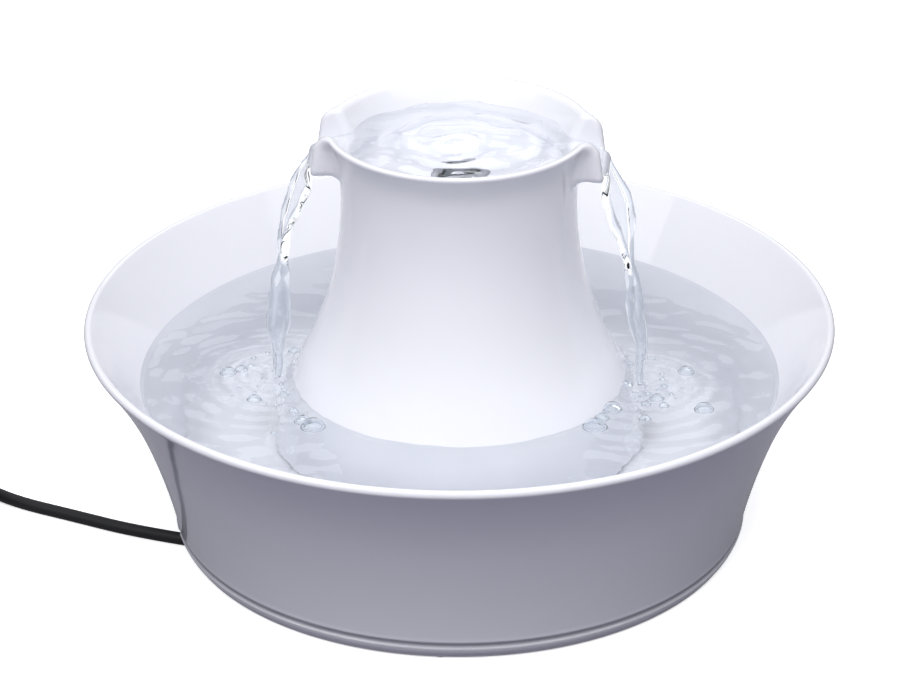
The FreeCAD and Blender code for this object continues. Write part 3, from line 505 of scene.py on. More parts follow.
print("finishes:", len(finishes))

# %% [markdown]
# ## Round shapes from an outline
# Bowl, water and bubbles are all bodies of revolution. On the wheel they are drawn as one outline
# of straight flanks and arcs, so the same is done here: an outline of radius and height is built
# from arcs that flow into each other, and one function spins it into a closed mesh.

# %% Outlines of arcs
def leaning(lean):
    """A heading in the plane of radius and height, as degrees from straight up, outwards."""
    return np.array([sin(radians(lean)), cos(radians(lean))])


def arc_to(outline, lean, end, steps):
    """Adds an arc that leaves the last point with a lean, and gives the lean it arrives with."""
    start = np.array(outline[-1], float)
    along = leaning(lean)
    across = np.array([along[1], -along[0]])
    chord = np.array(end, float) - start
    turn = 2 * atan2(across @ chord, along @ chord)
    if abs(turn) < 1e-6:
        outline.append(tuple(end))
        return lean
    radius = np.linalg.norm(chord) / (2 * sin(turn / 2))
    for k in range(1, steps + 1):
        part = turn * k / steps
        outline.append(tuple(start + radius * (sin(part) * along + (1 - cos(part)) * across)))
    return lean + degrees(turn)


def bend_to(outline, lean, end, end_lean, steps):
    """Adds two arcs that leave the last point with one lean and reach a point with another."""
    start, end = np.array(outline[-1], float), np.array(end, float)
    leave, arrive = leaning(lean), leaning(end_lean)
    gap = start - end
    a = 2 * (leave @ arrive - 1)
    b = 2 * gap @ (leave + arrive)
    c = gap @ gap
    reach = -c / b if abs(a) < 1e-9 else (-b - sqrt(b * b - 4 * a * c)) / (2 * a)
    middle = (start + leave * reach + end - arrive * reach) / 2
    arc_to(outline, arc_to(outline, lean, middle, steps), end, steps)


def lip_points(outer_radius, top, thickness, lean):
    """Outer and inner point of a half-round lip on a wall that leans outwards."""
    half = thickness / 2
    middle = np.array([outer_radius - half, top - half])
    along = leaning(lean) * half
    return middle + (along[1], -along[0]), middle + (-along[1], along[0])


# %% Spin an outline into a mesh
def new_piece(name, mesh):
    """A mesh as a smoothly shaded object of the scene."""
    mesh.polygons.foreach_set("use_smooth", [True] * len(mesh.polygons))
    return placed(name, mesh)


def spun(outline, segments, middle=(0.0, 0.0), level=0.0):
    """Points and faces of a closed outline turned about the Z axis; millimetres in and out."""
    points, rings = [], []
    angles = np.arange(segments) * 2 * pi / segments
    for radius, height in outline:
        first = len(points)
        if radius < 1e-6:
            points.append((middle[0], middle[1], height + level))
            rings.append([first] * segments)
        else:
            xs, ys = middle[0] + radius * np.cos(angles), middle[1] + radius * np.sin(angles)
            points += [(x, y, height + level) for x, y in zip(xs, ys)]
            rings.append(list(range(first, first + segments)))
    faces = []
    for low, high in zip(rings, rings[1:] + rings[:1]):
        if low[0] == low[1] and high[0] == high[1]:
            continue
        for k in range(segments):
            n = (k + 1) % segments
            corners = [low[k], low[n], high[n], high[k]]
            faces.append(tuple(dict.fromkeys(corners)))
    return points, faces


def meshed(name, points, faces):
    """A mesh in metres from points in millimetres, with all faces turned outwards."""
    mesh = bpy.data.meshes.new(name)
    mesh.from_pydata([(x * MM, y * MM, z * MM) for x, y, z in points], [], faces)
    editor = bmesh.new()
    editor.from_mesh(mesh)
    bmesh.ops.recalc_face_normals(editor, faces=editor.faces)
    editor.to_mesh(mesh)
    editor.free()
    return mesh


def dress(piece, body, finish, nodes=()):
    """Gives a piece its finish and the body it moves with, and hides the nodes it stands for."""
    piece.data.materials.clear()
    piece.data.materials.append(finishes[finish])
    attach(piece, body)
    if nodes:
        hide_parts(*nodes)
    return piece


# %% [markdown]
# ## The bowl
# The bowl stands on a foot ring, with a shadow groove above it, and its wall swings out in one
# long curve to a rounded lip. It is turned from an outline, finely enough that its reflections
# run smoothly, and then the notch for the cord, the hole for the cord's stopper and the pockets
# for the foot pads are cut out of it with one Boolean.

# %% The bowl's outline
rim_radius, rim_height, lip_thickness = 146.0, 90.0, 3.5
foot_bottom, foot_radius, foot_ring_width = 0.6, 111.0, 7.0
foot_edge = 0.9
shoulder_radius, shoulder_height = 113.4, 9.0
groove_height, groove_half_width, groove_lean = 7.0, 1.2, -60.0
foot_lean, lean_low, lean_high = 45.0, 12.0, 36.3
floor_under, floor_top = 7.6, 13.6
basin_radius, basin_corner, basin_lean = 109.0, 16.0, 12.0
seat_ring, edge_run = (64.5, 67.5, 16.6), 3.5

outer_lip, inner_lip = lip_points(rim_radius, rim_height, lip_thickness, lean_high)
foot_inner = foot_radius - foot_ring_width
basin = (basin_radius, floor_top + basin_corner)
outside = [(foot_inner + foot_edge, foot_bottom), (foot_radius - foot_edge, foot_bottom)]
arc_to(outside, 90, (foot_radius, foot_bottom + foot_edge), 5)
arc_to(outside, foot_lean, (shoulder_radius, groove_height - groove_half_width), 8)
arc_to(outside, groove_lean, (shoulder_radius, groove_height + groove_half_width), 14)
outside.append((shoulder_radius, shoulder_height))
bend_to(outside, lean_low, outer_lip, lean_high, 24)
arc_to(outside, lean_high, inner_lip, 18)
inside = [tuple(inner_lip)]
bend_to(inside, 180 + lean_high, basin, 180 + basin_lean, 24)
bend_to(inside, 180 + basin_lean, (basin[0] - basin_corner, floor_top), 270, 12)
inside += [(80.0, floor_top), (seat_ring[1], floor_top), (seat_ring[1], seat_ring[2])]
inside += [(seat_ring[0], seat_ring[2]), (seat_ring[0], floor_top), (30.0, floor_top), (0.0, floor_top)]
under = [(0.0, floor_under), (60.0, floor_under), (foot_inner - edge_run, floor_under)]
under += [(foot_inner, floor_under - edge_run), (foot_inner, foot_bottom + foot_edge)]
bowl_outline = outside + inside[1:] + under
print("bowl outline:", len(bowl_outline), "points")

# %% Turn the bowl and cut its holes
bowl_segments, sharp_angle = 320, 75.0
notch_width, notch_height = 8.4, 6.2
notch_place, notch_turn = (-105.6, -32.0), radians(168.5)
stopper_hole = (-28.5, -17.5, 6.0)
pad_circle, pad_radius, pad_count, pad_first = 107.5, 2.5, 6, 30.0


def notch_cutter():
    """A round-topped bar that lies along the cord where it passes under the foot ring."""
    half, reach, steps = notch_width / 2, 14.0, 16
    arch = [(-half, -1.0)]
    for k in range(steps + 1):
        turn = pi * (1 - k / steps)
        arch.append((half * cos(turn), notch_height - half + half * sin(turn)))
    arch.append((half, -1.0))
    along = (cos(notch_turn), sin(notch_turn))
    points = []
    for step in (-reach, reach / 2):
        for side, height in arch:
            x = notch_place[0] + along[0] * step - along[1] * side
            y = notch_place[1] + along[1] * step + along[0] * side
            points.append((x, y, height))
    count = len(arch)
    faces = [tuple(range(count)), tuple(range(2 * count - 1, count - 1, -1))]
    faces += [(k, k + count, (k + 1) % count + count, (k + 1) % count) for k in range(count)]
    return points, faces


def plug_cutter(x, y, radius, low, high):
    return spun([(0.0, low), (radius, low), (radius, high), (0.0, high)], 32, (x, y))


bowl = new_piece("ceramic_bowl", meshed("ceramic_bowl", *spun(bowl_outline, bowl_segments)))
cutters = [notch_cutter(), plug_cutter(*stopper_hole, floor_under - 2, floor_top + 2)]
for k in range(pad_count):
    turn = radians(pad_first + 360 * k / pad_count)
    place = (pad_circle * cos(turn), pad_circle * sin(turn))
    cutters.append(plug_cutter(*place, pad_radius, foot_bottom - 2, foot_bottom + 1.2))
for number, (points, faces) in enumerate(cutters):
    cutter = new_piece(f"cutter_{number}", meshed("cutter", points, faces))
    cut = bowl.modifiers.new("cut", "BOOLEAN")
    cut.operation = "DIFFERENCE"
    cut.object = cutter
    bpy.context.view_layer.objects.active = bowl
    bpy.ops.object.modifier_apply(modifier=cut.name)
    bpy.data.objects.remove(cutter)
bowl.data.set_sharp_from_angle(angle=radians(sharp_angle))
dress(bowl, "base", "glaze", ["bowl"])
print("bowl:", len(bowl.data.vertices), "points")

# %% [markdown]
# ## A skin round a field of distances
# The tower is not quite round: its wall flows out into two spouts, and every edge is softened by
# glaze. Falling water has no outline at all. Both are easier to say as a field, a function that
# gives each point of space its distance from the surface, because fields can be joined and cut
# with rounded corners. One function then wraps a mesh round the places where a field is zero: it
# puts a point in each small cell that the surface crosses, joins them, and lets every point slide
# down the slope of the field until it lies exactly on the surface. The field's slope also gives
# the shading, because it is smoother than the small faces are.

# %% Joining and cutting fields
def round_max(first, second, radius):
    """What two shapes share, with the corner between them rounded."""
    lifted = np.maximum(first + radius, 0), np.maximum(second + radius, 0)
    return np.minimum(np.maximum(first, second), -radius) + np.hypot(*lifted)


def round_min(first, second, radius):
    """Two shapes as one, with the corner between them filled in round."""
    return -round_max(-first, -second, radius)


def slope_of(field, points, step=0.03):
    """The direction in which a field grows fastest at each point, by small steps."""
    slopes = []
    for axis in range(3):
        shift = np.zeros(3)
        shift[axis] = step
        ahead, behind = points + shift, points - shift
        slopes.append((field(*ahead.T) - field(*behind.T)) / (2 * step))
    return np.stack(slopes, 1)


# %% Wrap a mesh round a field
def cell_corners(grid, axis_steps):
    """The values of a grid at one corner of every cell."""
    cut = tuple(slice(s, n - 1 + s) for s, n in zip(axis_steps, grid.shape))
    return grid[cut]


def wrap(name, field, axes, settle_steps=4, reach=0.6):
    """An object whose closed mesh lies where a field in millimetres is zero."""
    grid = field(*np.meshgrid(*axes, indexing="ij"))
    inside = grid < 0
    corners = [(a, b, c) for a in (0, 1) for b in (0, 1) for c in (0, 1)]
    counts = sum(cell_corners(inside.astype(int), corner) for corner in corners)
    cells = np.argwhere((counts > 0) & (counts < 8))
    numbers = -np.ones(counts.shape, int)
    numbers[tuple(cells.T)] = np.arange(len(cells))
    total, found = np.zeros((len(cells), 3)), np.zeros(len(cells))
    for corner in corners:
        for axis in range(3):
            if corner[axis]:
                continue
            low = cells + corner
            high = low.copy()
            high[:, axis] += 1
            first, second = grid[tuple(low.T)], grid[tuple(high.T)]
            crossed = (first < 0) != (second < 0)
            share = np.where(crossed, first / np.where(crossed, first - second, 1), 0)
            place = np.stack([axes[k][low[:, k]] for k in range(3)], 1)
            place[:, axis] += share * (axes[axis][high[:, axis]] - axes[axis][low[:, axis]])
            total += place * crossed[:, None]
            found += crossed
    points = total / found[:, None]
    for _ in range(settle_steps):
        slope = slope_of(field, points)
        square = np.maximum((slope * slope).sum(1), 0.05)
        move = slope * (field(*points.T) / square)[:, None]
        length = np.maximum(np.linalg.norm(move, axis=1), 1e-9)
        points = points - move * np.minimum(1, reach / length)[:, None]
    faces = []
    for axis in range(3):
        inner, ids = np.moveaxis(inside, axis, 0), np.moveaxis(numbers, axis, 0)
        crossed = inner[:-1, 1:-1, 1:-1] != inner[1:, 1:-1, 1:-1]
        i, j, k = np.argwhere(crossed).T
        quad = np.stack([ids[i, j, k], ids[i, j + 1, k], ids[i, j + 1, k + 1], ids[i, j, k + 1]], 1)
        outwards = inner[i, j + 1, k + 1] ^ (axis == 1)
        quad[~outwards] = quad[~outwards][:, ::-1]
        faces.append(quad)
    mesh = bpy.data.meshes.new(name)
    mesh.from_pydata((points * MM).tolist(), [], np.concatenate(faces).tolist())
    made = new_piece(name, mesh)
    slope = slope_of(field, points)
    unit = slope / np.maximum(np.linalg.norm(slope, axis=1), 1e-9)[:, None]
    mesh.normals_split_custom_set_from_vertices(unit.tolist())
    return made


# %% [markdown]
# ## The tower
# The tower swings in from a wide foot to a neck, and out again to a rim. Inside the rim lies a
# deep dish, and two gutters lead the water out over the rim to the left and right. Their
# walls, the ears, are as thick as the rim and end in the same full round. As a field the tower
# is what a potter would do: a turned body joined to a cross bar, the dish and the channel
# scooped out of it, the top trimmed level, and the hollow for the pump cut from below.

# %% The tower's curves
tower_foot, tower_top = 15.1, 169.3
foot_outer, tower_wall = 74.0, 5.0
neck_radius, neck_height = 45.5, 140.0
tower_rim, tower_lip, tower_lip_lean = 50.8, 3.4, 30.0
deck_top, deck_under = 132.8, 127.8
dish_radius, dish_corner, bore_round = 40.6, 6.0, 6.0
outer_rim_point, inner_rim_point = lip_points(tower_rim, tower_top, tower_lip, tower_lip_lean)
beyond_rim = leaning(tower_lip_lean) * 20


def as_curve(outline):
    """Heights, radii and slopes of an outline that only climbs."""
    radii, heights = np.array(outline).T
    return heights, radii, np.gradient(radii, heights)


outer = [(foot_outer, tower_foot)]
bend_to(outer, 0, (neck_radius, neck_height), 0, 80)
bend_to(outer, 0, outer_rim_point, tower_lip_lean, 40)
outer.append(tuple(outer_rim_point + beyond_rim))
dish = [(dish_radius, deck_top + dish_corner)]
bend_to(dish, 0, inner_rim_point, tower_lip_lean, 40)
dish.append(tuple(inner_rim_point + beyond_rim))
bore = [(foot_outer - tower_wall, tower_foot)]
bend_to(bore, 0, (neck_radius - tower_wall, neck_height), 0, 80)
outer_curve, dish_curve, bore_curve = as_curve(outer), as_curve(dish), as_curve(bore)


def outside_of(curve, radius, z):
    """How far points lie outside a turned curve; negative inside."""
    heights, radii, slopes = curve
    lean = np.interp(z, heights, slopes)
    return (radius - np.interp(z, heights, radii)) / np.sqrt(1 + lean * lean)


# %% The tower as a field
spout_reach, spout_half, spout_wall = 56.0, 15.0, 3.4
spout_sole, spout_floor = 152.0, 155.4
ear_round, sole_round, floor_round, root_round, channel_round = 6.0, 3.5, 2.5, 4.0, 3.0
mouth_lean, bead_inset, bead_start, bead_fade = 7.5, 0.8, 2.2, 4.0
outlet_radius, outlet_round, arch_half, arch_top, foot_round = 9.0, 0.6, 10.0, 29.1, 0.8


def dish_space(x, y, z):
    """The water's space: the dish and the channels that lead out of it."""
    radius = np.hypot(x, y)
    bowl_part = round_max(outside_of(dish_curve, radius, z), deck_top - z, dish_corner)
    channel = round_max(np.abs(y) - (spout_half - spout_wall), spout_floor - z, floor_round)
    return round_min(bowl_part, channel, channel_round)


def tower_field(x, y, z):
    radius = np.hypot(x, y)
    reach = spout_reach - tan(radians(mouth_lean)) * (z - spout_sole)
    trim = round_max(z - tower_top, np.abs(x) - reach, ear_round)
    depth = np.clip((-trim - bead_start) / bead_fade, 0, 1)
    waist = bead_inset * depth * depth * (3 - 2 * depth)
    bar = round_max(np.abs(y) - spout_half + waist, spout_sole - z, sole_round)
    body = round_min(outside_of(outer_curve, radius, z), bar, root_round)
    shell = round_max(np.maximum(body, -dish_space(x, y, z)), trim, tower_lip / 2)
    hollow = round_max(outside_of(bore_curve, radius, z), z - deck_under, bore_round)
    shell = np.maximum(shell, -hollow)
    shell = round_max(shell, outlet_radius - radius, outlet_round)
    rise = np.maximum(z - (arch_top - arch_half), 0)
    arch = np.minimum(np.hypot(x, rise), np.hypot(y, rise)) - arch_half
    shell = round_max(shell, -arch, foot_round)
    return round_max(shell, tower_foot - z, foot_round)


# %% Wrap the tower
fine, coarse, middling = 1.1, 2.6, 1.0
across = np.arange(-77.0, 77.01, fine)
stretches = (13.5, 32, fine), (32, 138, coarse), (138, 172, middling)
upwards = np.concatenate([np.arange(*stretch) for stretch in stretches])
tower = wrap("ceramic_tower", tower_field, (across, across, upwards))
dress(tower, "tower", "glaze", ["tower"])
print("tower:", len(tower.data.vertices), "points")

# %% [markdown]
# ## The water in the bowl
# Still water would be a flat disc. Here two streams fall into it, so rings spread from where they
# land, and it heaves gently everywhere. The body of water reaches a little into the clay, so that
# no gap shows, and the light bends only once, at its surface. It lies inside the tower as well.

# %% The water's surface
ring_length, ring_height, ring_fade = 8.5, 0.85, 20.0
swell_height, swell_size, lump_height, lump_size = 0.6, 26.0, 0.45, 11.0
ring_wobble, wobble_size = 2.5, 15.0
churn_height, churn_size, churn_reach = 1.3, 5.0, 18.0
meniscus_height, meniscus_width = 1.1, 1.6
tower_at_water = float(np.interp(water_level, outer_curve[0], outer_curve[1]))


def uneven(x, y, size, layer):
    """Soft noise over the water; every layer is another noise."""
    return noise.noise(Vector((x / size, y / size, layer)))


def ripple(x, y):
    """How far the water stands above its level, in millimetres."""
    height = swell_height * uneven(x, y, swell_size, 0.3)
    height += lump_height * uneven(x, y, lump_size, 5.1)
    for landing_x, landing_y in landings:
        away = hypot(x - landing_x, y - landing_y)
        wobble = ring_wobble * uneven(x, y, wobble_size, 9.7)
        ring = cos(2 * pi * (away + wobble) / ring_length)
        height += ring_height * ring * exp(-away / ring_fade)
        churn = churn_height * uneven(x, y, churn_size, 2.2)
        height += churn * exp(-(away / churn_reach) ** 2)
    from_tower = hypot(x, y) - tower_at_water
    if from_tower > 0:
        height += meniscus_height * exp(-from_tower / meniscus_width)
    return height


into_clay, ring_step, off_wall, edge_rise, water_segments = 0.5, 1.15, 1.0, 0.4, 400
wall_from = 70.0
wall_inside = [point for point in inside if point[1] < water_level - off_wall]
crossing = np.interp(water_level, [p[1] for p in inside[::-1]], [p[0] for p in inside[::-1]])
surface = [(radius, water_level) for radius in np.arange(0, crossing - off_wall, ring_step)]
surface.append((crossing + into_clay, water_level + edge_rise))
for radius, height in wall_inside:
    surface.append((max(radius + into_clay * (radius > wall_from), 0.0), height - into_clay))
water_points, water_faces = spun(surface, water_segments)
water_points = [
    (x, y, z + ripple(x, y)) if z == water_level else (x, y, z) for x, y, z in water_points
]
bowl_water = new_piece("bowl_water", meshed("bowl_water", water_points, water_faces))
dress(bowl_water, "base", "pool_water")
print("bowl water:", len(water_points), "points, radius", round(float(crossing), 1))

# %% [markdown]
# ## The water in the dish and the two streams
# The pump's water wells up in the middle of the dish, slides out along the gutters and falls.
# A falling sheet draws itself together: its edges gather into two thick strings with a thin skin
# between them, which cross over, spread and close again on the way down. So each stream is told
# by two strings, whose places at a few heights are chosen to follow the photograph, and
# the field is the strings, the skin between them and the dish's water, all run together.

# %% The strings of each stream
# Height, then x and y of the outer string, then x and y of the inner string, in millimetres.
east_strings = [
    (160, 54.2, 4.6, 54, -6.4), (156.5, 55.8, 5.6, 55.4, -7.6), (152, 57.6, 6, 56.6, -8.4),
    (147, 60.6, 5.5, 56.4, -8.8), (141, 64, 4.5, 57.2, -8), (132, 66.2, 3, 60.1, -7),
    (124, 66.1, 1, 62.8, -6), (115, 66.5, -2, 65.2, -5), (105, 69.5, -3.5, 66.3, -4.8),
    (94, 71, -6.3, 66.8, -4.5), (86, 72.3, -7.6, 68.6, -5.4), (80, 72.7, -7.5, 70.4, -6.2),
    (73, 71.5, -7.4, 70.7, -7), (62, 71.5, -8, 70.9, -8.2),
]
west_strings = [
    (160, -54.2, 4.6, -54, -6.4), (156.5, -55.8, 5.6, -55.4, -7.6), (152, -58, 5.6, -56.6, -8.4),
    (147, -62, 4.6, -57, -8.8), (141, -64.5, 3.2, -59, -8.6), (132, -67.2, 1, -63.2, -8),
    (124, -68.6, -1, -66.2, -7.6), (116, -68.5, -4, -67, -7), (105, -71.3, -7.5, -67, -6.6),
    (94, -72.6, -9, -66.8, -7), (87, -73.3, -9.2, -66.9, -7.4), (79, -71.8, -9.4, -69, -8.2),
    (71, -71, -9.4, -70.3, -8.8), (62, -70.9, -9.4, -70.3, -9.2),
]


def smooth_columns(rows, heights):
    """The rows' columns at any heights, eased by a cubic through neighbouring rows."""
    table = np.array(sorted(rows))
    levels, values = table[:, 0], table[:, 1:]
    slopes = np.gradient(values, levels, axis=0)
    span = np.clip(np.searchsorted(levels, heights) - 1, 0, len(levels) - 2)
    width = levels[span + 1] - levels[span]
    t = np.clip((heights - levels[span]) / width, 0, 1)[..., None]
    width = width[..., None]
    start, end = values[span], values[span + 1]
    leave, arrive = slopes[span] * width, slopes[span + 1] * width
    return (
        start * (2 * t**3 - 3 * t**2 + 1) + leave * (t**3 - 2 * t**2 + t)
        + end * (3 * t**2 - 2 * t**3) + arrive * (t**3 - t**2)
    )


# %% The falling water as a field
string_radius, skin_half, skin_round = 1.45, 0.95, 0.9
long_bead, long_bead_length, short_bead, short_bead_length = 0.25, 3.1, 0.15, 1.7
stream_top, stream_end, foot_taper, taper_height = 157.0, 64.2, 0.75, 3.5
dish_level, well_rise, well_width = 160.6, 2.4, 9.0
mouth_drop, drop_start, drop_run = 3.2, 36.0, 18.0
# Height, length, bend and the bend's length, for the waves along x and then for those along y.
dish_waves = (0.34, 3.7, 1.3, 6.1), (0.28, 3.1, -1.1, 5.3)
eddy_height, eddy_length, eddy_fade, twist, twist_length = 0.55, 1.5, 18.0, 1.4, 9.0
into_dish, pool_edge, pool_end = 0.4, 0.5, 55.2
tongue_half, tongue_end, tongue_thick = 8.2, 56.8, 1.9
tongue_corner, tongue_edge, tongue_join = 2.2, 1.7, 1.5
top_round, stream_join = 1.2, 2.2


def stream(rows, x, y, z):
    """Two strings of water and the skin between them."""
    ax, ay, bx, by = np.moveaxis(smooth_columns(rows, z), -1, 0)
    beads = long_bead * np.sin(z / long_bead_length + ax)
    beads = beads + short_bead * np.sin(z / short_bead_length)
    to_a, to_b = np.hypot(x - ax, y - ay), np.hypot(x - bx, y - by)
    across_x, across_y = bx - ax, by - ay
    length = np.maximum(across_x**2 + across_y**2, 1e-6)
    share = np.clip(((x - ax) * across_x + (y - ay) * across_y) / length, 0, 1)
    to_skin = np.hypot(x - ax - share * across_x, y - ay - share * across_y)
    thick = 1 - foot_taper * np.exp(-np.maximum(z - stream_end, 0) / taper_height)
    strings = np.minimum(to_a, to_b) - string_radius * thick - beads
    return round_min(strings, to_skin - skin_half * thick, skin_round)


def bent_waves(along, over, height, length, bend, bend_length):
    """Waves that run one way and are bent as they spread the other way."""
    return height * np.sin(along / length + bend * np.sin(over / bend_length))


def dish_surface(x, y):
    """The water's height in the dish: it wells up in the middle and dips to the mouths."""
    radius, turn = np.hypot(x, y), np.arctan2(y, x)
    well = well_rise * np.exp(-((radius / well_width) ** 2))
    drop = mouth_drop * np.clip((np.abs(x) - drop_start) / drop_run, 0, 1) ** 1.5
    waves = bent_waves(x, y, *dish_waves[0]) + bent_waves(y, x, *dish_waves[1])
    eddy = np.cos(radius / eddy_length + twist * np.sin(turn + radius / twist_length))
    rings = eddy_height * eddy * np.exp(-radius / eddy_fade)
    return dish_level + well - drop + waves + rings


def falls_field(x, y, z):
    """The dish's water, a tongue through each mouth, and the two streams, run together."""
    pool = round_max(dish_space(x, y, z) - into_dish, z - dish_surface(x, y), pool_edge)
    pool = np.maximum(pool, np.abs(x) - pool_end)
    tongue = round_max(np.abs(y) - tongue_half, np.abs(x) - tongue_end, tongue_corner)
    tongue = round_max(tongue, np.abs(z - spout_floor) - tongue_thick, tongue_edge)
    pool = round_min(pool, tongue, tongue_join)
    both = np.minimum(stream(east_strings, x, y, z), stream(west_strings, x, y, z))
    both = round_max(both, z - stream_top, top_round)
    both = np.maximum(both, stream_end - z)
    return round_min(pool, both, stream_join)


# %% Wrap the falling water
falls_step, in_dish = 0.9, 54.0
falls_x, falls_y = np.arange(-78.0, 78.01, falls_step), np.arange(-46.0, 46.01, falls_step)
falls_z = np.arange(62.0, 166.0, falls_step)
falling_water = wrap("falling_water", falls_field, (falls_x, falls_y, falls_z))
falls_mesh = falling_water.data
falls_mesh.materials.append(finishes["water"])
falls_mesh.materials.append(finishes["dish_water"])
for face in falls_mesh.polygons:
    face.material_index = int(abs(face.center.x) < in_dish * MM and face.center.z > deck_under * MM)
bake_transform(falling_water)
print("falling water:", len(falls_mesh.vertices), "points")

# %% [markdown]
# ## Bubbles
# Air that the streams drag down comes up again as bubbles, which gather where the water meets
# the tower and drift over the bowl. A bubble that floats is a thin dome of water with a foot
# where it pulls the surface up, so each is a spun shell with an outside and an inside.

# %% Bubbles on the surface
film, flatness, sink = 0.16, 0.62, 0.25
# Middle x, middle y and radius in millimetres.
large_bubbles = [
    (54.8, -43.5, 3.9), (60.9, -29.6, 3.1), (57.4, -36.6, 2.2), (77.9, -18.4, 2.4), (66.0, -8.5, 2.0),
    (88.9, 4.8, 2.7), (96.2, -26.5, 3.1), (73.8, -25.0, 1.6), (80.8, -24.6, 1.6), (73.7, -36.0, 2.0),
    (66.8, 9.3, 1.2), (-52.6, -50.2, 3.9), (-57.0, -45.6, 2.7), (-61.4, -37.6, 1.6), (-77.8, -28.7, 2.4),
    (-90.5, -7.8, 2.7), (-85.6, -5.1, 2.0), (-82.4, -0.9, 1.2), (-66.8, -57.0, 1.2), (-67.1, -33.9, 0.8),
    (-66.7, 13.0, 2.0), (-66.9, -24.9, 1.6),
]


def bubble_outline(radius):
    """Outside and inside of a thin dome that stands on the water."""
    steps, edge = 9, -15
    sweep = [radians(edge + (90 - edge) * k / steps) for k in range(steps + 1)]
    dome = [(radius * cos(a), radius * (sin(a) * flatness + sink)) for a in sweep]
    foot = [(radius * 1.25, 0.02), (radius * 1.08, 0.1)]
    dome[-1] = (0.0, dome[-1][1])
    lining = [(max(r - film, 0.0), z - film) for r, z in reversed(dome)]
    return foot + dome + lining + [(radius * 0.8, -0.3), (radius * 1.1, -0.3)]


def bubbles(name, places, segments):
    points, faces = [], []
    for x, y, radius in places:
        level = water_level + ripple(x, y)
        more_points, more_faces = spun(bubble_outline(radius), segments, (x, y), level)
        faces += [tuple(len(points) + corner for corner in face) for face in more_faces]
        points += more_points
    return dress(new_piece(name, meshed(name, points, faces)), "base", "water")


tries, nearest, spread_out, least_radius, radius_range = 36, 3, 24, 0.5, 0.8
off_tower, off_bubbles = 2, 1.5
scatter = np.random.default_rng(11)
small_bubbles = []
for landing_x, landing_y in landings:
    for _ in range(tries):
        away = nearest + spread_out * scatter.random()
        turn = 2 * pi * scatter.random()
        x, y = landing_x + away * cos(turn), landing_y + away * sin(turn)
        others = large_bubbles + small_bubbles
        apart = all(hypot(x - a, y - b) > r + off_bubbles for a, b, r in others)
        if apart and hypot(x, y) > tower_at_water + off_tower:
            small_bubbles.append((x, y, least_radius + radius_range * scatter.random() ** 2))
bubbles("large_bubbles", large_bubbles, 28)
bubbles("small_bubbles", small_bubbles, 14)
print("bubbles:", len(large_bubbles) + len(small_bubbles))

# %% [markdown]
# ## Filters and the cord's tie
# The foam ring catches hair, and the pleated pack inside it holds the carbon. The foam is cut
# from a sheet, so its edges are soft and its sides are slightly crowned. The pack is a felt that
# is folded to and fro between two rings. A strap with a loop holds the coil of cord together.

# %% The foam ring
foam_inner, foam_outer, foam_low, foam_high = 52.7, 58.3, 16.4, 45.5
foam_round, foam_crown = 1.4, 0.25


def foam_outline():
    """A band with rounded edges, whose sides bulge by the crown."""
    middle, half = (foam_low + foam_high) / 2, (foam_high - foam_low) / 2 - foam_round
    outline = []
    for side, radius in ((1, foam_outer), (-1, foam_inner)):
        for k in range(13):
            share = side * (k / 6 - 1)
            outline.append((radius - side * foam_crown * share * share, middle + half * share))
        corner = (radius - side * foam_round, foam_high if side > 0 else foam_low)
        outline.append(corner)
    return outline


foam = new_piece("foam_filter", meshed("foam_filter", *spun(foam_outline(), 160)))
dress(foam, "cartridge", "foam", ["foam_ring"])

# %% The pleated pack
pleats, pleat_steps, pack_levels = 44, 8, 6
pack_inner, pack_outer, pack_low, pack_high = 43.8, 50.4, 16.4, 44.5
felt = 1.3


def band(first, above, count):
    """The faces between two closed rings of points, by the numbers of their first points."""
    ahead = [(k + 1) % count for k in range(count)]
    return [(first + k, first + n, above + n, above + k) for k, n in enumerate(ahead)]


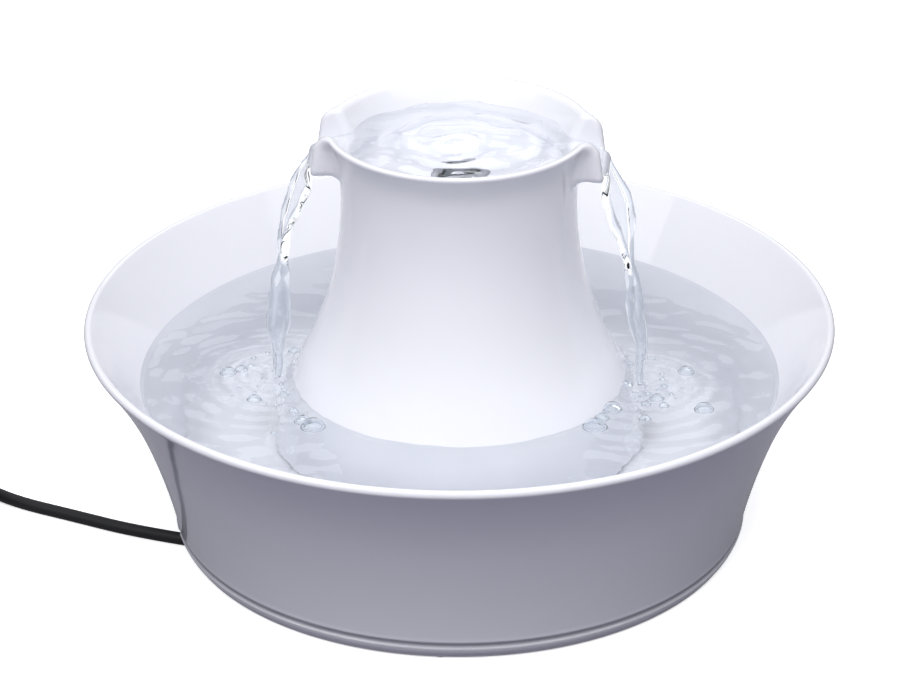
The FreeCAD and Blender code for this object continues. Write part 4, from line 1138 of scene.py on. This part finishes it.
pack_points, pack_faces = [], []
count = pleats * pleat_steps
for height in np.linspace(pack_low, pack_high, pack_levels):
    for side in (-0.5, 0.5):
        for k in range(count):
            wave = sin(2 * pi * k / pleat_steps)
            middle = (pack_inner + pack_outer) / 2 + (pack_outer - pack_inner - felt) / 2 * wave
            radius, turn = middle + side * felt, 2 * pi * k / count
            pack_points.append((radius * cos(turn), radius * sin(turn), height))
last_ring = 2 * (pack_levels - 1)
for ring in range(last_ring):
    pack_faces += band(ring * count, (ring + 2) * count, count)
for ring in (0, last_ring):
    pack_faces += band(ring * count, (ring + 1) * count, count)
pack = new_piece("carbon_filter", meshed("carbon_filter", pack_points, pack_faces))
dress(pack, "cartridge", "carbon_felt", ["carbon_pack"])

# %% The coil's strap
strap_turn = radians(200.0)
strap_width, strap_thickness = 8.6, 0.8
strap_low, strap_high = 0.55, 23.7
strap_inner, strap_outer, strap_corner = 14.7, 38.2, 3.0


def strap_loop(inset):
    """The strap's loop round the turns of cord, as a rectangle with rounded corners."""
    points = []
    x0, x1, z0, z1 = strap_inner + inset, strap_outer - inset, strap_low + inset, strap_high - inset
    r = strap_corner - inset
    right, left, top, low = x1 - r, x0 + r, z1 - r, z0 + r
    for cx, cz, start in ((right, top, 0), (left, top, 90), (left, low, 180), (right, low, 270)):
        for k in range(7):
            turn = radians(start + 15 * k)
            points.append((cx + r * cos(turn), cz + r * sin(turn)))
    return points


rings = []
for inset, side in ((0.0, -1), (0.0, 1), (strap_thickness, 1), (strap_thickness, -1)):
    edge = side * (strap_width / 2)
    rings.append([(x, edge, z) for x, z in strap_loop(inset)])
turned = Matrix.Rotation(strap_turn, 3, "Z")
strap_points = []
for ring in rings:
    for point in ring:
        place = turned @ Vector(point)
        strap_points.append((place.x + coil_middle[0] / MM, place.y + coil_middle[1] / MM, place.z))
n = len(rings[0])
strap_faces = []
for k in range(4):
    strap_faces += band(k * n, (k + 1) % 4 * n, n)
strap = new_piece("coil_strap", meshed("coil_strap", strap_points, strap_faces))
soften = strap.modifiers.new("soften", "BEVEL")
soften.width = 0.0002
soften.segments = 2
dress(strap, "base", "tie_strap", ["coil_tie"])

# %% [markdown]
# ## The other pieces
# Everything else keeps the shape of the working model: the pump and its rotor, the seals, the
# filter's cage, the feet and the adapter. They only need their finish, which the record of the
# part names for each of them.

# %% Finish the pieces of the working model
slots = {row["node"]: row["material_slot"] for row in frame["record"]["subparts"]}
for name, node in sorted(frame["nodes"].items()):
    if node.hide_render:
        continue
    node.data.materials.clear()
    node.data.materials.append(finishes[slots[name]])
print("kept pieces:", sum(not node.hide_render for node in frame["nodes"].values()))
power_cord.data.materials.append(finishes["cord_skin"])
